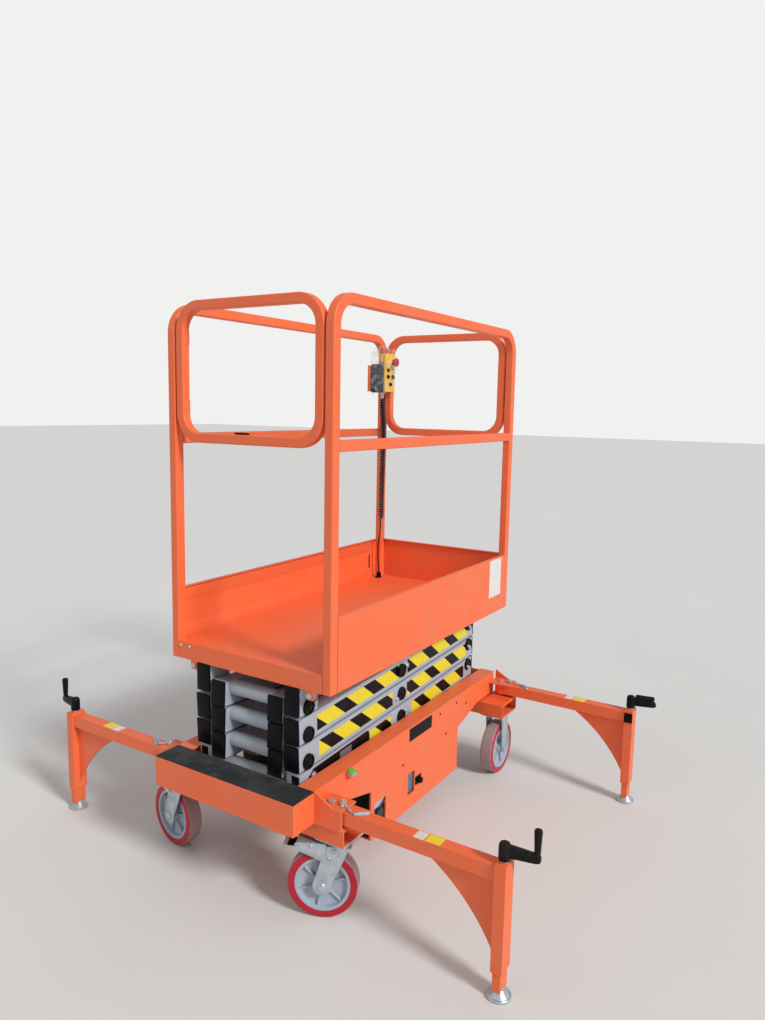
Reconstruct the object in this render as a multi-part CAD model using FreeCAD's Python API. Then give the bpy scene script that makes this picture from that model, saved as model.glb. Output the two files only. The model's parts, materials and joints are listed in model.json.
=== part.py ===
import FreeCAD, Part
import math
import os
from FreeCAD import Vector

# Small push-around scissor lift with three levels of arms, folded down.
# Millimetres. +X runs along the platform away from the step, +Y to the machine's left, +Z up.
# The model is drawn about the machine's middle and shifted by SHIFT_X when it is written, so that
# the origin is the middle of the whole outline on the ground.

# Ground plan
PLATFORM_LENGTH = 1171.0
PLATFORM_WIDTH = 596.0
WHEEL_RADIUS = 100.0

# Chassis
CHASSIS_HALF_WIDTH = PLATFORM_WIDTH / 2 - 38.0
CHASSIS_HALF_LENGTH = PLATFORM_LENGTH / 2 + 18.5
CHASSIS_WALL = 5.0
CROSS_TOP = 291.0
CROSS_HEIGHT = 48.0
CROSS_LENGTH = 134.0
CROSS_OUTER_X = CHASSIS_HALF_LENGTH - 8.0
CROSS_INNER_X = CROSS_OUTER_X - CROSS_LENGTH
CROSS_WALL = 4.0
CHASSIS_TOP = CROSS_TOP + 91.0
FLANGE_WIDTH = 57.0
SIDE_FAR_INSET = 28.0
SIDE_END_BOTTOM = CROSS_TOP + 9.0
SIDE_END_RUN = 163.0
NEAR_WALL_HEIGHT = 39.0
SKIRT_NEAR_X = -CHASSIS_HALF_LENGTH + 287.0
SKIRT_FAR_X = CHASSIS_HALF_LENGTH - 337.0
SKIRT_BOTTOM = 97.0
SKIRT_TOP = CROSS_TOP - 35.0
PAN_THICKNESS = 3.0
POWER_LENGTH = SKIRT_FAR_X - SKIRT_NEAR_X - 284.0
POWER_WIDTH = 2 * CHASSIS_HALF_WIDTH - 220.0
POWER_HEIGHT = 130.0
VIAL_X = -CHASSIS_HALF_LENGTH + 151.0
VIAL_RADIUS = 11.0
VIAL_HEIGHT = 10.0
VIAL_TAB_LENGTH = 34.0
VIAL_TAB_REACH = 26.0
VIAL_TAB_THICKNESS = 3.0

# Step
STEP_DEPTH = 90.0
STEP_REACH = CHASSIS_HALF_LENGTH + STEP_DEPTH
STEP_TREAD = 3.0
STEP_WALL = 3.0
TREAD_MARGIN = 1.0

# Outriggers
CORNER_WALL = 7.0
BEAM_WIDTH = 40.0
BEAM_HEIGHT = 38.0
BEAM_WALL = 4.0
BEAM_SEAT_RADIUS = 14.0
BEAM_SEAT_HEIGHT = 9.0
CLEVIS_WALL = 5.0
CLEVIS_GAP = 1.0
CLEVIS_PLAY = 6.0
OUTRIGGER_X = CHASSIS_HALF_LENGTH - CORNER_WALL - CLEVIS_PLAY - BEAM_WIDTH / 2
PIVOT_Y = CHASSIS_HALF_WIDTH + 35.0
PIVOT_RADIUS = 8.0
PIVOT_HEAD_RADIUS = 14.0
PIVOT_HEAD_HEIGHT = 8.0
CLEVIS_REACH = PIVOT_Y + 54.0
CLEVIS_INNER_X = OUTRIGGER_X - 39.0
CLEVIS_FLAT = 30.0
CROSS_HALF_WIDTH = CLEVIS_REACH + 3.0
BEAM_BOTTOM = CROSS_TOP + CLEVIS_WALL + CLEVIS_GAP + BEAM_SEAT_HEIGHT
BEAM_TOP = BEAM_BOTTOM + BEAM_HEIGHT
ROOF_LOW = BEAM_TOP + CLEVIS_GAP
ROOF_TOP = ROOF_LOW + CLEVIS_WALL
LOCK_PIN_Y = PIVOT_Y + 38.0
LOCK_PIN_RADIUS = 6.0
LOCK_HEAD_RADIUS = 9.0
LOCK_HEAD_HEIGHT = 14.0
LEG_Y = 801.0
LEG_LENGTH = 50.0
LEG_WIDTH = 30.0
LEG_WALL = 4.0
LEG_BOTTOM = 74.0
LEG_TOP = BEAM_TOP + 4.0
LEG_CAP = 3.0
JACK_CLEARANCE = 0.3
JACK_HIDDEN = 60.0
INNER_LEG_LENGTH = LEG_LENGTH - 2 * (LEG_WALL + JACK_CLEARANCE)
INNER_LEG_WIDTH = LEG_WIDTH - 2 * (LEG_WALL + JACK_CLEARANCE)
PAD_RADIUS = 31.0
PAD_HEIGHT = 8.0
PAD_RIM = 5.0
PAD_BOSS_RADIUS = 14.0
PAD_BOSS_TOP = 22.0
GUSSET_THICKNESS = 6.0
GUSSET_START_Y = LEG_Y - 214.0
GUSSET_LOW_Z = 100.0
GUSSET_SAG = 22.0
PLUG_SIZE = 34.0
PLUG_DEPTH = 3.0
PLUG_MARGIN = 1.0
CRANK_HUB_RADIUS = 15.0
CRANK_HUB_HEIGHT = 52.0
CRANK_REACH = 78.0
CRANK_ARM_LIFT = 14.0
CRANK_ARM_WIDTH = 16.0
CRANK_ROOT_DEPTH = 32.0
CRANK_TIP_DEPTH = 21.0
HANDLE_RADIUS = 10.0
HANDLE_NECK_RADIUS = 7.0
HANDLE_LENGTH = 85.0

# Castors
CASTOR_X = CROSS_OUTER_X - 61.0
CASTOR_Y = CROSS_HALF_WIDTH - 49.0
FIXED_WHEEL_X = CASTOR_X - 8.0
CASTOR_TRAIL = 48.0
PLATE_LENGTH = 114.0
PLATE_WIDTH = 96.0
PLATE_THICKNESS = 6.0
PLATE_LOW = CROSS_TOP - CROSS_HEIGHT - PLATE_THICKNESS
TYRE_WIDTH = 48.0
TYRE_THICKNESS = 20.0
TYRE_EDGE = 6.0
RIM_WALL = 8.0
CORE_DISC = 6.0
SPOKE_COUNT = 6
SPOKE_WIDTH = 7.0
SPOKE_INSET = 4.0
HUB_RADIUS = 22.0
HUB_WIDTH = 54.0
FORK_WALL = 5.0
FORK_GAP = 60.0
FORK_LEG_WIDTH = 56.0
FORK_TIP_RADIUS = 20.0
HEAD_RADIUS = 34.0
HEAD_HEIGHT = 16.0
HEAD_CLEARANCE = 0.3
AXLE_RADIUS = 8.0
AXLE_HEAD_RADIUS = 13.0
AXLE_HEAD_HEIGHT = 6.0
PEDAL_REACH = 140.0
PEDAL_WIDTH = 36.0
PEDAL_THICKNESS = 6.0
PEDAL_DROP = 2.0
RUN_CLEARANCE = 0.05

# Scissor pack
ARM_DEPTH = 72.0
ARM_WIDTH = 50.0
ARM_WALL = 4.0
ARM_END = 37.0
LOW_ARM_END = 28.0
ARM_STACK_GAP = 8.0
ARM_RISE = ARM_DEPTH + ARM_STACK_GAP
NEAR_PIN_X = -CHASSIS_HALF_LENGTH + 58.0
FAR_PIN_X = CHASSIS_HALF_LENGTH - 135.65
ARM_PIN_SPAN = math.hypot(FAR_PIN_X - NEAR_PIN_X, ARM_RISE)
ARM_MIDDLE = ARM_PIN_SPAN / 2
ARM_PIN_OFFSET = 16.0
ARM_LEAN = math.degrees(math.asin(ARM_PIN_OFFSET / ARM_MIDDLE))
LOW_PIN_Z = CROSS_TOP + 57.0
TOP_PIN_Z = LOW_PIN_Z + 3 * ARM_RISE
INNER_ARM_Y = CHASSIS_HALF_WIDTH - 177.5
ARM_SIDE_GAP = 10.0
OUTER_ARM_Y = INNER_ARM_Y + ARM_WIDTH + ARM_SIDE_GAP
OUTER_FACE_Y = OUTER_ARM_Y + ARM_WIDTH
PIN_RADIUS = 12.0
PIN_HEAD_RADIUS = 22.0
PIN_HEAD = 5.0
CROSS_TUBE_RADIUS = 22.5
CROSS_TUBE_PLAY = 2.0
BLOCK_HALF = 50.0
ROLLER_RADIUS = 23.0
ROLLER_GAP = 0.5
ROLLER_MARGIN = 3.0
AXLE_END_INSET = 2.0
RAIL_NEAR_X = -CHASSIS_HALF_LENGTH + 224.0
RAIL_FAR_X = CHASSIS_HALF_LENGTH - 89.0
RAIL_Y = OUTER_ARM_Y - 2.5
RAIL_WIDTH = ARM_WIDTH + 5.0
RAIL_WALL = 3.0
BRACKET_WALL = 8.0
BRACKET_HALF = 32.0
BRACKET_EYE = 22.0
BRACKET_GAP = 4.0

# Cylinder
BARREL_FOOT = 350.0
BARREL_DROP = 20.0
ROD_FOOT = 750.0
ROD_LIFT = 20.0
BARREL_RADIUS = 30.0
ROD_SHOWING = 40.5
BARREL_COLLAR = 4.0
COLLAR_LENGTH = 22.0
BARREL_FLOOR = 90.0
ROD_START = 100.0
ROD_RADIUS = 16.0
ROD_CLEARANCE = 0.3
EYE_RADIUS = 26.0
EYE_WIDTH = 54.0
EYE_WALL = 3.0
CYLINDER_TUBE_RADIUS = 17.0
EAR_WALL = 6.0
EAR_GAP = 3.0

# Platform
DECK_BOTTOM = TOP_PIN_Z + 64.0
DECK_TOP = DECK_BOTTOM + 51.5
DECK_WALL = 3.0
TOE_HEIGHT = 158.5
TOE_TOP = DECK_TOP + TOE_HEIGHT
TOE_LIP = 12.0
POST_LENGTH = 32.0
POST_WIDTH = 28.0
GUARD_HEIGHT = 1004.5
GUARD_TOP = DECK_TOP + GUARD_HEIGHT
RAIL_HEIGHT = 30.0
GUARD_CORNER = 90.0
MID_RAIL_HEIGHT = 596.5
MID_RAIL_BOTTOM = DECK_TOP + MID_RAIL_HEIGHT
TUBE_WALL = 2.0
TUBE_EDGE = 4.0
LOOP_TUBE = 28.0
LOOP_BOTTOM = MID_RAIL_BOTTOM + 6.0
LOOP_TOP = GUARD_TOP - 2.0
LOOP_CORNER = 85.0
LOOP_GAP = 5.0
LOOP_INSET = 1.5
TAB_INSET = 110.0
TAB_LENGTH = 18.0
TAB_HEIGHT = 30.0
UNDERRAIL_WIDTH = 70.0
UNDERRAIL_Y = OUTER_ARM_Y - UNDERRAIL_WIDTH
UNDERRAIL_BOTTOM = DECK_BOTTOM - 2.0
UNDERRAIL_INSET = 15.0
TIE_LENGTH = 40.0
TIE_LIFT = 10.0
PIVOT_TUBE_REACH = 45.0
PIVOT_TUBE_DROP = 20.0
ROLLER_RAIL_NEAR_X = -200.0
ROLLER_RAIL_FAR_X = PLATFORM_LENGTH / 2 - 45.5
GATE_INSET = 0.5
HINGE_OFFSET = 8.0
HINGE_X = -PLATFORM_LENGTH / 2 + LOOP_TUBE + GATE_INSET + HINGE_OFFSET
HINGE_Y = PLATFORM_WIDTH / 2 - 42.0
HINGE_RADIUS = 7.0
HINGE_PIN_RADIUS = 4.0
HINGE_HEIGHT = 20.0
HINGE_GAP = 0.3
HINGE_INSET = 100.0
LEAF_LENGTH = 10.0
LUG_WIDTH = 12.0

# Control box and its cord
BOX_X = (PLATFORM_LENGTH / 2 - 111.5, PLATFORM_LENGTH / 2 - 33.5)
BOX_Y = (PLATFORM_WIDTH / 2 - 75.0, PLATFORM_WIDTH / 2 - 15.0)
BOX_Z = (GUARD_TOP - 231.0, GUARD_TOP - 118.0)
BOX_BRACKET = 4.0
BOX_BRACKET_INSET = 8.0
FACE_TOP = GUARD_TOP - 76.0
FACE_THICKNESS = 9.0
FACE_MARGIN = 2.0
BUTTON_RADIUS = 17.0
BUTTON_HEIGHT = 22.0
BUTTON_CAP = 10.0
BUTTON_INSET = 26.0
BUTTON_DROP = 34.0
STEM_RADIUS = 11.0
SOCKET_RADIUS = 9.0
SOCKET_LENGTH = 10.0
COIL_RADIUS = 13.0
LEAD_RADIUS = 3.5
CORD_X = PLATFORM_LENGTH / 2 - 69.5
CORD_Y = PLATFORM_WIDTH / 2 - 46.0
CORD_TOP = BOX_Z[0] - SOCKET_LENGTH
GLAND_PLACE = (CORD_X + 14.0, CORD_Y + 10.0)
GLAND_RADIUS = 10.0
GLAND_HEIGHT = 24.0
GLAND_BASE = 6.0
GLAND_BASE_LENGTH = 34.0
GLAND_BASE_WIDTH = 22.0
GLAND_BASE_AHEAD = 14.0

# The cord's corners as steps in x, y and z from its socket under the control box.
COIL_STEPS = ((0, 0, 0), (0, 0, -37), (6, -4, -127), (7, -3, -257), (5, -1, -397), (7, 1, -487),
              (8, 2, -527))
LEAD_STEPS = ((8, 2, -527), (8, 2, -547), (5, 6, -587), (3, 10, -632), (6, 12, -677), (14, 10, -719))

SHIFT_X = (STEP_REACH - FIXED_WHEEL_X - WHEEL_RADIUS) / 2
REST_ANGLE = math.degrees(math.asin(ARM_RISE / ARM_PIN_SPAN))
UP = Vector(0, 0, 1)
ALONG = Vector(1, 0, 0)
ACROSS = Vector(0, 1, 0)


def block(x0, x1, y0, y1, z0, z1):
    low = Vector(min(x0, x1), min(y0, y1), min(z0, z1))
    return Part.makeBox(abs(x1 - x0), abs(y1 - y0), abs(z1 - z0), low)


def rod_y(x, z, radius, y0, y1):
    return Part.makeCylinder(radius, abs(y1 - y0), Vector(x, min(y0, y1), z), ACROSS)


def rod_z(x, y, radius, z0, z1):
    return Part.makeCylinder(radius, z1 - z0, Vector(x, y, z0), UP)


def prism(points, direction):
    wire = Part.makePolygon([Vector(*p) for p in points] + [Vector(*points[0])])
    return Part.Face(wire).extrude(Vector(*direction))


def fused(shapes):
    whole = shapes[0].multiFuse(shapes[1:]) if len(shapes) > 1 else shapes[0]
    return whole.removeSplitter()


def mirrored(shape, normal):
    return shape.mirror(Vector(0, 0, 0), normal)


def box_tube(x0, x1, y0, y1, z0, z1, wall, open_axis):
    """Rectangular tube, open at its ends along open_axis (0, 1 or 2)."""
    sizes = [[x0, x1], [y0, y1], [z0, z1]]
    inside = []
    for axis, (low, high) in enumerate(sizes):
        low, high = min(low, high), max(low, high)
        inset = -1.0 if axis == open_axis else wall
        inside += [low + inset, high - inset]
    return block(x0, x1, y0, y1, z0, z1).cut(block(*inside))


def write(name, shape):
    solids = shape.Solids
    moved = Part.makeCompound(solids) if len(solids) > 1 else solids[0]
    moved = moved.copy()
    moved.translate(Vector(SHIFT_X, 0, 0))
    moved.exportStep(os.path.join("parts", name + ".step"))
    volume = moved.Volume / 1e6
    print(f"{name:22s} solids {len(solids)}  valid {moved.isValid()}  litres {volume:.3f}")


def side_plates():
    """Right side sheet as beam, flange, sloped part and skirt, each meeting the next face to face."""
    outer = -CHASSIS_HALF_WIDTH
    inner = outer + CHASSIS_WALL
    near, far = -CHASSIS_HALF_LENGTH, CHASSIS_HALF_LENGTH - SIDE_FAR_INSET
    beam = block(near, far, outer, inner, SIDE_END_BOTTOM, CHASSIS_TOP)
    flange = block(near, far, inner, outer + FLANGE_WIDTH, CHASSIS_TOP - CHASSIS_WALL, CHASSIS_TOP)
    sloped = prism([(near, outer, CROSS_TOP), (near, outer, SIDE_END_BOTTOM),
                    (SKIRT_FAR_X + SIDE_END_RUN, outer, SIDE_END_BOTTOM), (SKIRT_FAR_X, outer, SKIRT_TOP),
                    (SKIRT_NEAR_X, outer, SKIRT_TOP), (-CROSS_INNER_X, outer, CROSS_TOP)],
                   (0, CHASSIS_WALL, 0))
    skirt = block(SKIRT_NEAR_X, SKIRT_FAR_X, outer, inner, SKIRT_BOTTOM, SKIRT_TOP)
    return beam, flange, sloped, skirt


# Cut-outs of the right skirt: x from, x to, z from, z to.
PANEL_WINDOWS = ((-94.0, -50.0, 146.0, 219.0),
                 (-46.0, -2.0, 160.0, 191.0),
                 (-297.0, -231.0, 130.0, 208.0))
INSERT_MARGIN = 1.8
INSERT_THICKNESS = 3.0


def panel_windows():
    y0 = -CHASSIS_HALF_WIDTH - 1
    y1 = -CHASSIS_HALF_WIDTH + CHASSIS_WALL + 1
    return [block(x0, x1, y0, y1, z0, z1) for x0, x1, z0, z1 in PANEL_WINDOWS]


def panel_inserts():
    """Plates behind the skirt's cut-outs that carry the switch, the inlet and the gauge."""
    y0 = -CHASSIS_HALF_WIDTH + CHASSIS_WALL
    plates = []
    for x0, x1, z0, z1 in PANEL_WINDOWS:
        plates.append(block(x0 - INSERT_MARGIN, x1 + INSERT_MARGIN, y0, y0 + INSERT_THICKNESS,
                            z0 - INSERT_MARGIN, z1 + INSERT_MARGIN))
    return plates


def corner_box():
    """Clevis of the near right corner, open towards -Y and +X: floor, roof and end wall."""
    near = -CHASSIS_HALF_LENGTH
    wall_x = near + CORNER_WALL
    y0, y1 = -CLEVIS_REACH, -CHASSIS_HALF_WIDTH
    floor = block(wall_x, -CLEVIS_INNER_X, y0, y1, CROSS_TOP, CROSS_TOP + CLEVIS_WALL)
    roof = block(wall_x, -CLEVIS_INNER_X, y0, y1, ROOF_LOW, ROOF_TOP)
    wall = prism([(near, y0, CROSS_TOP), (near, y0, ROOF_TOP), (near, y0 + CLEVIS_FLAT, ROOF_TOP),
                  (near, y1, CHASSIS_TOP), (near, y1, CROSS_TOP)], (CORNER_WALL, 0, 0))
    bore = rod_z(-OUTRIGGER_X, -PIVOT_Y, PIVOT_RADIUS + RUN_CLEARANCE, CROSS_TOP - 1, ROOF_TOP + 1)
    lock = rod_z(-OUTRIGGER_X, -LOCK_PIN_Y, LOCK_PIN_RADIUS + RUN_CLEARANCE, ROOF_LOW - 1, ROOF_TOP + 1)
    return floor.cut(bore), roof.cut(bore).cut(lock), wall


def four_corners(shape):
    """The near right shape and its images at the other three corners."""
    left = mirrored(shape, ACROSS)
    return [shape, left, mirrored(shape, ALONG), mirrored(left, ALONG)]


def chassis_frame():
    """Plates and tubes of the welded chassis, each a solid of its own that touches the next."""
    inner = CHASSIS_HALF_WIDTH - CHASSIS_WALL
    beam, flange, sloped, skirt = side_plates()
    solids = [beam, flange, sloped, skirt.cut(Part.makeCompound(panel_windows()))]
    solids += [mirrored(plate, ACROSS) for plate in (beam, flange, sloped, skirt)]
    for end in (-1, 1):
        solids.append(box_tube(end * CROSS_INNER_X, end * CROSS_OUTER_X, -CROSS_HALF_WIDTH,
                               CROSS_HALF_WIDTH, CROSS_TOP - CROSS_HEIGHT, CROSS_TOP, CROSS_WALL, 1))
    near_wall = -CHASSIS_HALF_LENGTH
    solids.append(block(near_wall, near_wall + CHASSIS_WALL, -inner, inner, CROSS_TOP,
                        CROSS_TOP + NEAR_WALL_HEIGHT))
    far_wall = CHASSIS_HALF_LENGTH - SIDE_FAR_INSET
    solids.append(block(far_wall - CHASSIS_WALL, far_wall, -inner, inner, CROSS_TOP,
                        CHASSIS_TOP - CHASSIS_WALL))
    for x in (SKIRT_NEAR_X, SKIRT_FAR_X - CHASSIS_WALL):
        solids.append(block(x, x + CHASSIS_WALL, -inner, inner, SKIRT_BOTTOM, CROSS_TOP))
    for plate in corner_box():
        solids += four_corners(plate)
    solids.append(block(SKIRT_NEAR_X + CHASSIS_WALL, SKIRT_FAR_X - CHASSIS_WALL, -inner, inner,
                        SKIRT_BOTTOM, SKIRT_BOTTOM + PAN_THICKNESS))
    return solids


def step_box():
    half = CHASSIS_HALF_WIDTH
    front, back = -STEP_REACH, -CHASSIS_HALF_LENGTH
    top = CHASSIS_TOP - STEP_TREAD
    shell = block(front, back, -half, half, CROSS_TOP, top)
    hollow = block(front + STEP_WALL, back + 1, -half + STEP_WALL, half - STEP_WALL,
                   CROSS_TOP - 1, top - STEP_WALL)
    return shell.cut(hollow)


def step_tread():
    top = CHASSIS_TOP - STEP_TREAD
    half = CHASSIS_HALF_WIDTH - TREAD_MARGIN
    return block(-STEP_REACH + TREAD_MARGIN, -CHASSIS_HALF_LENGTH, -half, half, top, CHASSIS_TOP)


def power_pack():
    floor = SKIRT_BOTTOM + PAN_THICKNESS
    mid = (SKIRT_NEAR_X + SKIRT_FAR_X) / 2
    return block(mid - POWER_LENGTH / 2, mid + POWER_LENGTH / 2, -POWER_WIDTH / 2, POWER_WIDTH / 2,
                 floor, floor + POWER_HEIGHT)


def base_rails():
    """Roller tracks on the cross channel and on the skirts' end walls."""
    top = LOW_PIN_Z - ROLLER_RADIUS - ROLLER_GAP / 2
    rail = box_tube(RAIL_NEAR_X, RAIL_FAR_X, RAIL_Y, RAIL_Y + RAIL_WIDTH, CROSS_TOP, top, RAIL_WALL, 0)
    return [rail, mirrored(rail, ACROSS)]


def base_brackets():
    """Plates beside the outer arms that carry the lowest near shaft."""
    shapes = []
    y0 = OUTER_ARM_Y - BRACKET_GAP - BRACKET_WALL
    for side in (-1, 1):
        plate = block(NEAR_PIN_X - BRACKET_HALF, NEAR_PIN_X + BRACKET_HALF, side * y0,
                      side * (y0 + BRACKET_WALL), CROSS_TOP, LOW_PIN_Z)
        eye = rod_y(NEAR_PIN_X, LOW_PIN_Z, BRACKET_EYE, side * y0, side * (y0 + BRACKET_WALL))
        bore = rod_y(NEAR_PIN_X, LOW_PIN_Z, PIN_RADIUS + RUN_CLEARANCE, side * (y0 - 1),
                     side * (y0 + BRACKET_WALL + 1))
        shapes.append(fused([plate, eye]).cut(bore))
    return shapes


def corner_pins():
    """Pivot bolts through the clevises, and the short lock pins with their rings on top."""
    x, y = -OUTRIGGER_X, -PIVOT_Y
    bolt = fused([rod_z(x, y, PIVOT_RADIUS, CROSS_TOP, ROOF_TOP),
                  rod_z(x, y, PIVOT_HEAD_RADIUS, ROOF_TOP, ROOF_TOP + PIVOT_HEAD_HEIGHT)])
    pin = fused([rod_z(x, -LOCK_PIN_Y, LOCK_PIN_RADIUS, ROOF_LOW, ROOF_TOP),
                 rod_z(x, -LOCK_PIN_Y, LOCK_HEAD_RADIUS, ROOF_TOP, ROOF_TOP + LOCK_HEAD_HEIGHT)])
    return four_corners(bolt) + four_corners(pin)


def level_vial():
    """Round bubble level on a tab of the right side plate."""
    tab_y = -CHASSIS_HALF_WIDTH - VIAL_TAB_REACH
    seat = CHASSIS_TOP - 12.0
    half = VIAL_TAB_LENGTH / 2
    tab = block(VIAL_X - half, VIAL_X + half, tab_y, -CHASSIS_HALF_WIDTH, seat - VIAL_TAB_THICKNESS, seat)
    vial = rod_z(VIAL_X, tab_y + VIAL_RADIUS + 3, VIAL_RADIUS, seat, seat + VIAL_HEIGHT)
    return fused([tab, vial])


def castor_plate(x, y, length, width):
    return block(x - length / 2, x + length / 2, y - width / 2, y + width / 2,
                 PLATE_LOW, PLATE_LOW + PLATE_THICKNESS)


def fork_legs(drop_to_axle):
    """Two fork legs about the axle along Y at the origin, up to the given height above it."""
    legs = []
    for side in (-1, 1):
        y0 = side * FORK_GAP / 2
        y1 = side * (FORK_GAP / 2 + FORK_WALL)
        tip = rod_y(0, 0, FORK_TIP_RADIUS, y0, y1)
        leg = prism([(-FORK_TIP_RADIUS, y0, 0), (FORK_TIP_RADIUS, y0, 0),
                     (FORK_LEG_WIDTH / 2, y0, drop_to_axle), (-FORK_LEG_WIDTH / 2, y0, drop_to_axle)],
                    (0, y1 - y0, 0))
        bore = rod_y(0, 0, AXLE_RADIUS + RUN_CLEARANCE, y0 - side, y1 + side)
        legs.append(fused([tip, leg]).cut(bore))
    return legs


def wheel_axle():
    """Axle bolt along Y with its head and nut, at the origin."""
    reach = FORK_GAP / 2 + FORK_WALL
    end = reach + AXLE_HEAD_HEIGHT
    return fused([rod_y(0, 0, AXLE_RADIUS, -reach, reach),
                  rod_y(0, 0, AXLE_HEAD_RADIUS, reach, end),
                  rod_y(0, 0, AXLE_HEAD_RADIUS, -end, -reach)])


def fixed_fork(y):
    """Rigid castor of the far end without its wheel."""
    rise = PLATE_LOW - WHEEL_RADIUS
    half = FORK_GAP / 2 + FORK_WALL
    bridge = block(-FORK_LEG_WIDTH / 2, FORK_LEG_WIDTH / 2, -half, half, rise - FORK_WALL, rise)
    fork = fused(fork_legs(rise) + [bridge, wheel_axle()])
    fork.translate(Vector(FIXED_WHEEL_X, y, WHEEL_RADIUS))
    return fused([fork, castor_plate(FIXED_WHEEL_X, y, PLATE_LENGTH, PLATE_WIDTH)])


def swivel_fork():
    """Swivel fork about its kingpin at the origin, trailing along +X, with axle and brake pedal."""
    head_top = PLATE_LOW - HEAD_CLEARANCE
    crown = head_top - HEAD_HEIGHT
    heel = CASTOR_TRAIL + PEDAL_WIDTH / 4
    head = rod_z(0, 0, HEAD_RADIUS, crown, head_top)
    half = FORK_GAP / 2 + FORK_WALL
    bridge = block(-HEAD_RADIUS, heel, -half, half, crown - FORK_WALL, crown)
    pieces = [head, bridge]
    for side in (-1, 1):
        y0 = side * FORK_GAP / 2
        leg = prism([(-HEAD_RADIUS, y0, crown), (heel, y0, crown),
                     (CASTOR_TRAIL + FORK_TIP_RADIUS, y0, WHEEL_RADIUS),
                     (CASTOR_TRAIL - FORK_TIP_RADIUS, y0, WHEEL_RADIUS)], (0, side * FORK_WALL, 0))
        tip = rod_y(CASTOR_TRAIL, WHEEL_RADIUS, FORK_TIP_RADIUS, y0, y0 + side * FORK_WALL)
        bore = rod_y(CASTOR_TRAIL, WHEEL_RADIUS, AXLE_RADIUS + RUN_CLEARANCE, y0 - side,
                     y0 + side * (FORK_WALL + 1))
        pieces.append(fused([leg, tip]).cut(bore))
    axle = wheel_axle()
    axle.translate(Vector(CASTOR_TRAIL, 0, WHEEL_RADIUS))
    pieces.append(axle)
    low = crown - FORK_WALL
    y0 = -PEDAL_WIDTH / 2
    end_low = low - PEDAL_DROP
    pieces.append(prism([(CASTOR_TRAIL, y0, low), (PEDAL_REACH, y0, end_low),
                         (PEDAL_REACH, y0, end_low + PEDAL_THICKNESS), (CASTOR_TRAIL, y0, crown)],
                        (0, PEDAL_WIDTH, 0)))
    return fused(pieces)


def tyre():
    """Wheel tread about the Y axis at the origin."""
    inner = WHEEL_RADIUS - TYRE_THICKNESS
    half = TYRE_WIDTH / 2
    ring = rod_y(0, 0, WHEEL_RADIUS, -half, half).cut(rod_y(0, 0, inner, -half - 1, half + 1))
    rims = [e for e in ring.Edges if abs(e.Length - 2 * math.pi * WHEEL_RADIUS) < 0.1]
    return ring.makeFillet(TYRE_EDGE, rims)


def wheel_core():
    """Spoked core with its hub, about the Y axis at the origin."""
    outer = WHEEL_RADIUS - TYRE_THICKNESS
    half = TYRE_WIDTH / 2
    middle = outer - RIM_WALL / 2
    rim = rod_y(0, 0, outer, -half, half).cut(rod_y(0, 0, outer - RIM_WALL, -half - 1, half + 1))
    hub = rod_y(0, 0, HUB_RADIUS, -HUB_WIDTH / 2, HUB_WIDTH / 2)
    disc = rod_y(0, 0, middle, -CORE_DISC / 2, CORE_DISC / 2)
    pieces = [rim, hub, disc]
    for turn in range(SPOKE_COUNT):
        spoke = block(0, middle, -half + SPOKE_INSET, half - SPOKE_INSET, -SPOKE_WIDTH / 2, SPOKE_WIDTH / 2)
        spoke.rotate(Vector(0, 0, 0), ACROSS, 360 / SPOKE_COUNT * turn)
        pieces.append(spoke)
    bore = rod_y(0, 0, AXLE_RADIUS + RUN_CLEARANCE, -HUB_WIDTH, HUB_WIDTH)
    return fused(pieces).cut(bore)


def outrigger_arm():
    """Near right beam with its round tail on a seat, arched gusset and leg tube, along -Y."""
    x = -OUTRIGGER_X
    leg_outer = -LEG_Y - LEG_WIDTH / 2
    leg_inner = -LEG_Y + LEG_WIDTH / 2
    beam = box_tube(x - BEAM_WIDTH / 2, x + BEAM_WIDTH / 2, leg_inner, -PIVOT_Y, BEAM_BOTTOM, BEAM_TOP,
                    BEAM_WALL, 1)
    tail = rod_z(x, -PIVOT_Y, BEAM_WIDTH / 2, BEAM_BOTTOM, BEAM_TOP)
    seat_low = BEAM_BOTTOM - BEAM_SEAT_HEIGHT
    seat = rod_z(x, -PIVOT_Y, BEAM_SEAT_RADIUS, seat_low, BEAM_BOTTOM)
    side = LEG_LENGTH / 2
    leg = box_tube(x - side, x + side, leg_outer, leg_inner, LEG_BOTTOM, LEG_TOP, LEG_WALL, 2)
    cap = block(x - side, x + side, leg_outer, leg_inner, LEG_TOP, LEG_TOP + LEG_CAP)
    start = Vector(x, -GUSSET_START_Y, BEAM_BOTTOM)
    low = Vector(x, leg_inner, GUSSET_LOW_Z)
    corner = Vector(x, leg_inner, BEAM_BOTTOM)
    chord = low.sub(start)
    normal = Vector(0, chord.z, -chord.y).normalize()
    middle = start.add(low).multiply(0.5).add(normal.multiply(GUSSET_SAG))
    edge = Part.Wire([Part.Arc(start, middle, low).toShape(), Part.LineSegment(low, corner).toShape(),
                      Part.LineSegment(corner, start).toShape()])
    gusset = Part.Face(edge).extrude(Vector(GUSSET_THICKNESS, 0, 0))
    gusset.translate(Vector(-GUSSET_THICKNESS / 2, 0, 0))
    plug_z = BEAM_BOTTOM + BEAM_HEIGHT / 2
    plug = block(x + side, x + side + PLUG_DEPTH, leg_outer + PLUG_MARGIN, leg_inner - PLUG_MARGIN,
                 plug_z - PLUG_SIZE / 2, plug_z + PLUG_SIZE / 2)
    whole = fused([beam, tail, seat, leg, cap, gusset, plug])
    bore = rod_z(x, -PIVOT_Y, PIVOT_RADIUS + RUN_CLEARANCE, seat_low - 1, BEAM_TOP + 1)
    return whole.cut(bore)


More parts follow.
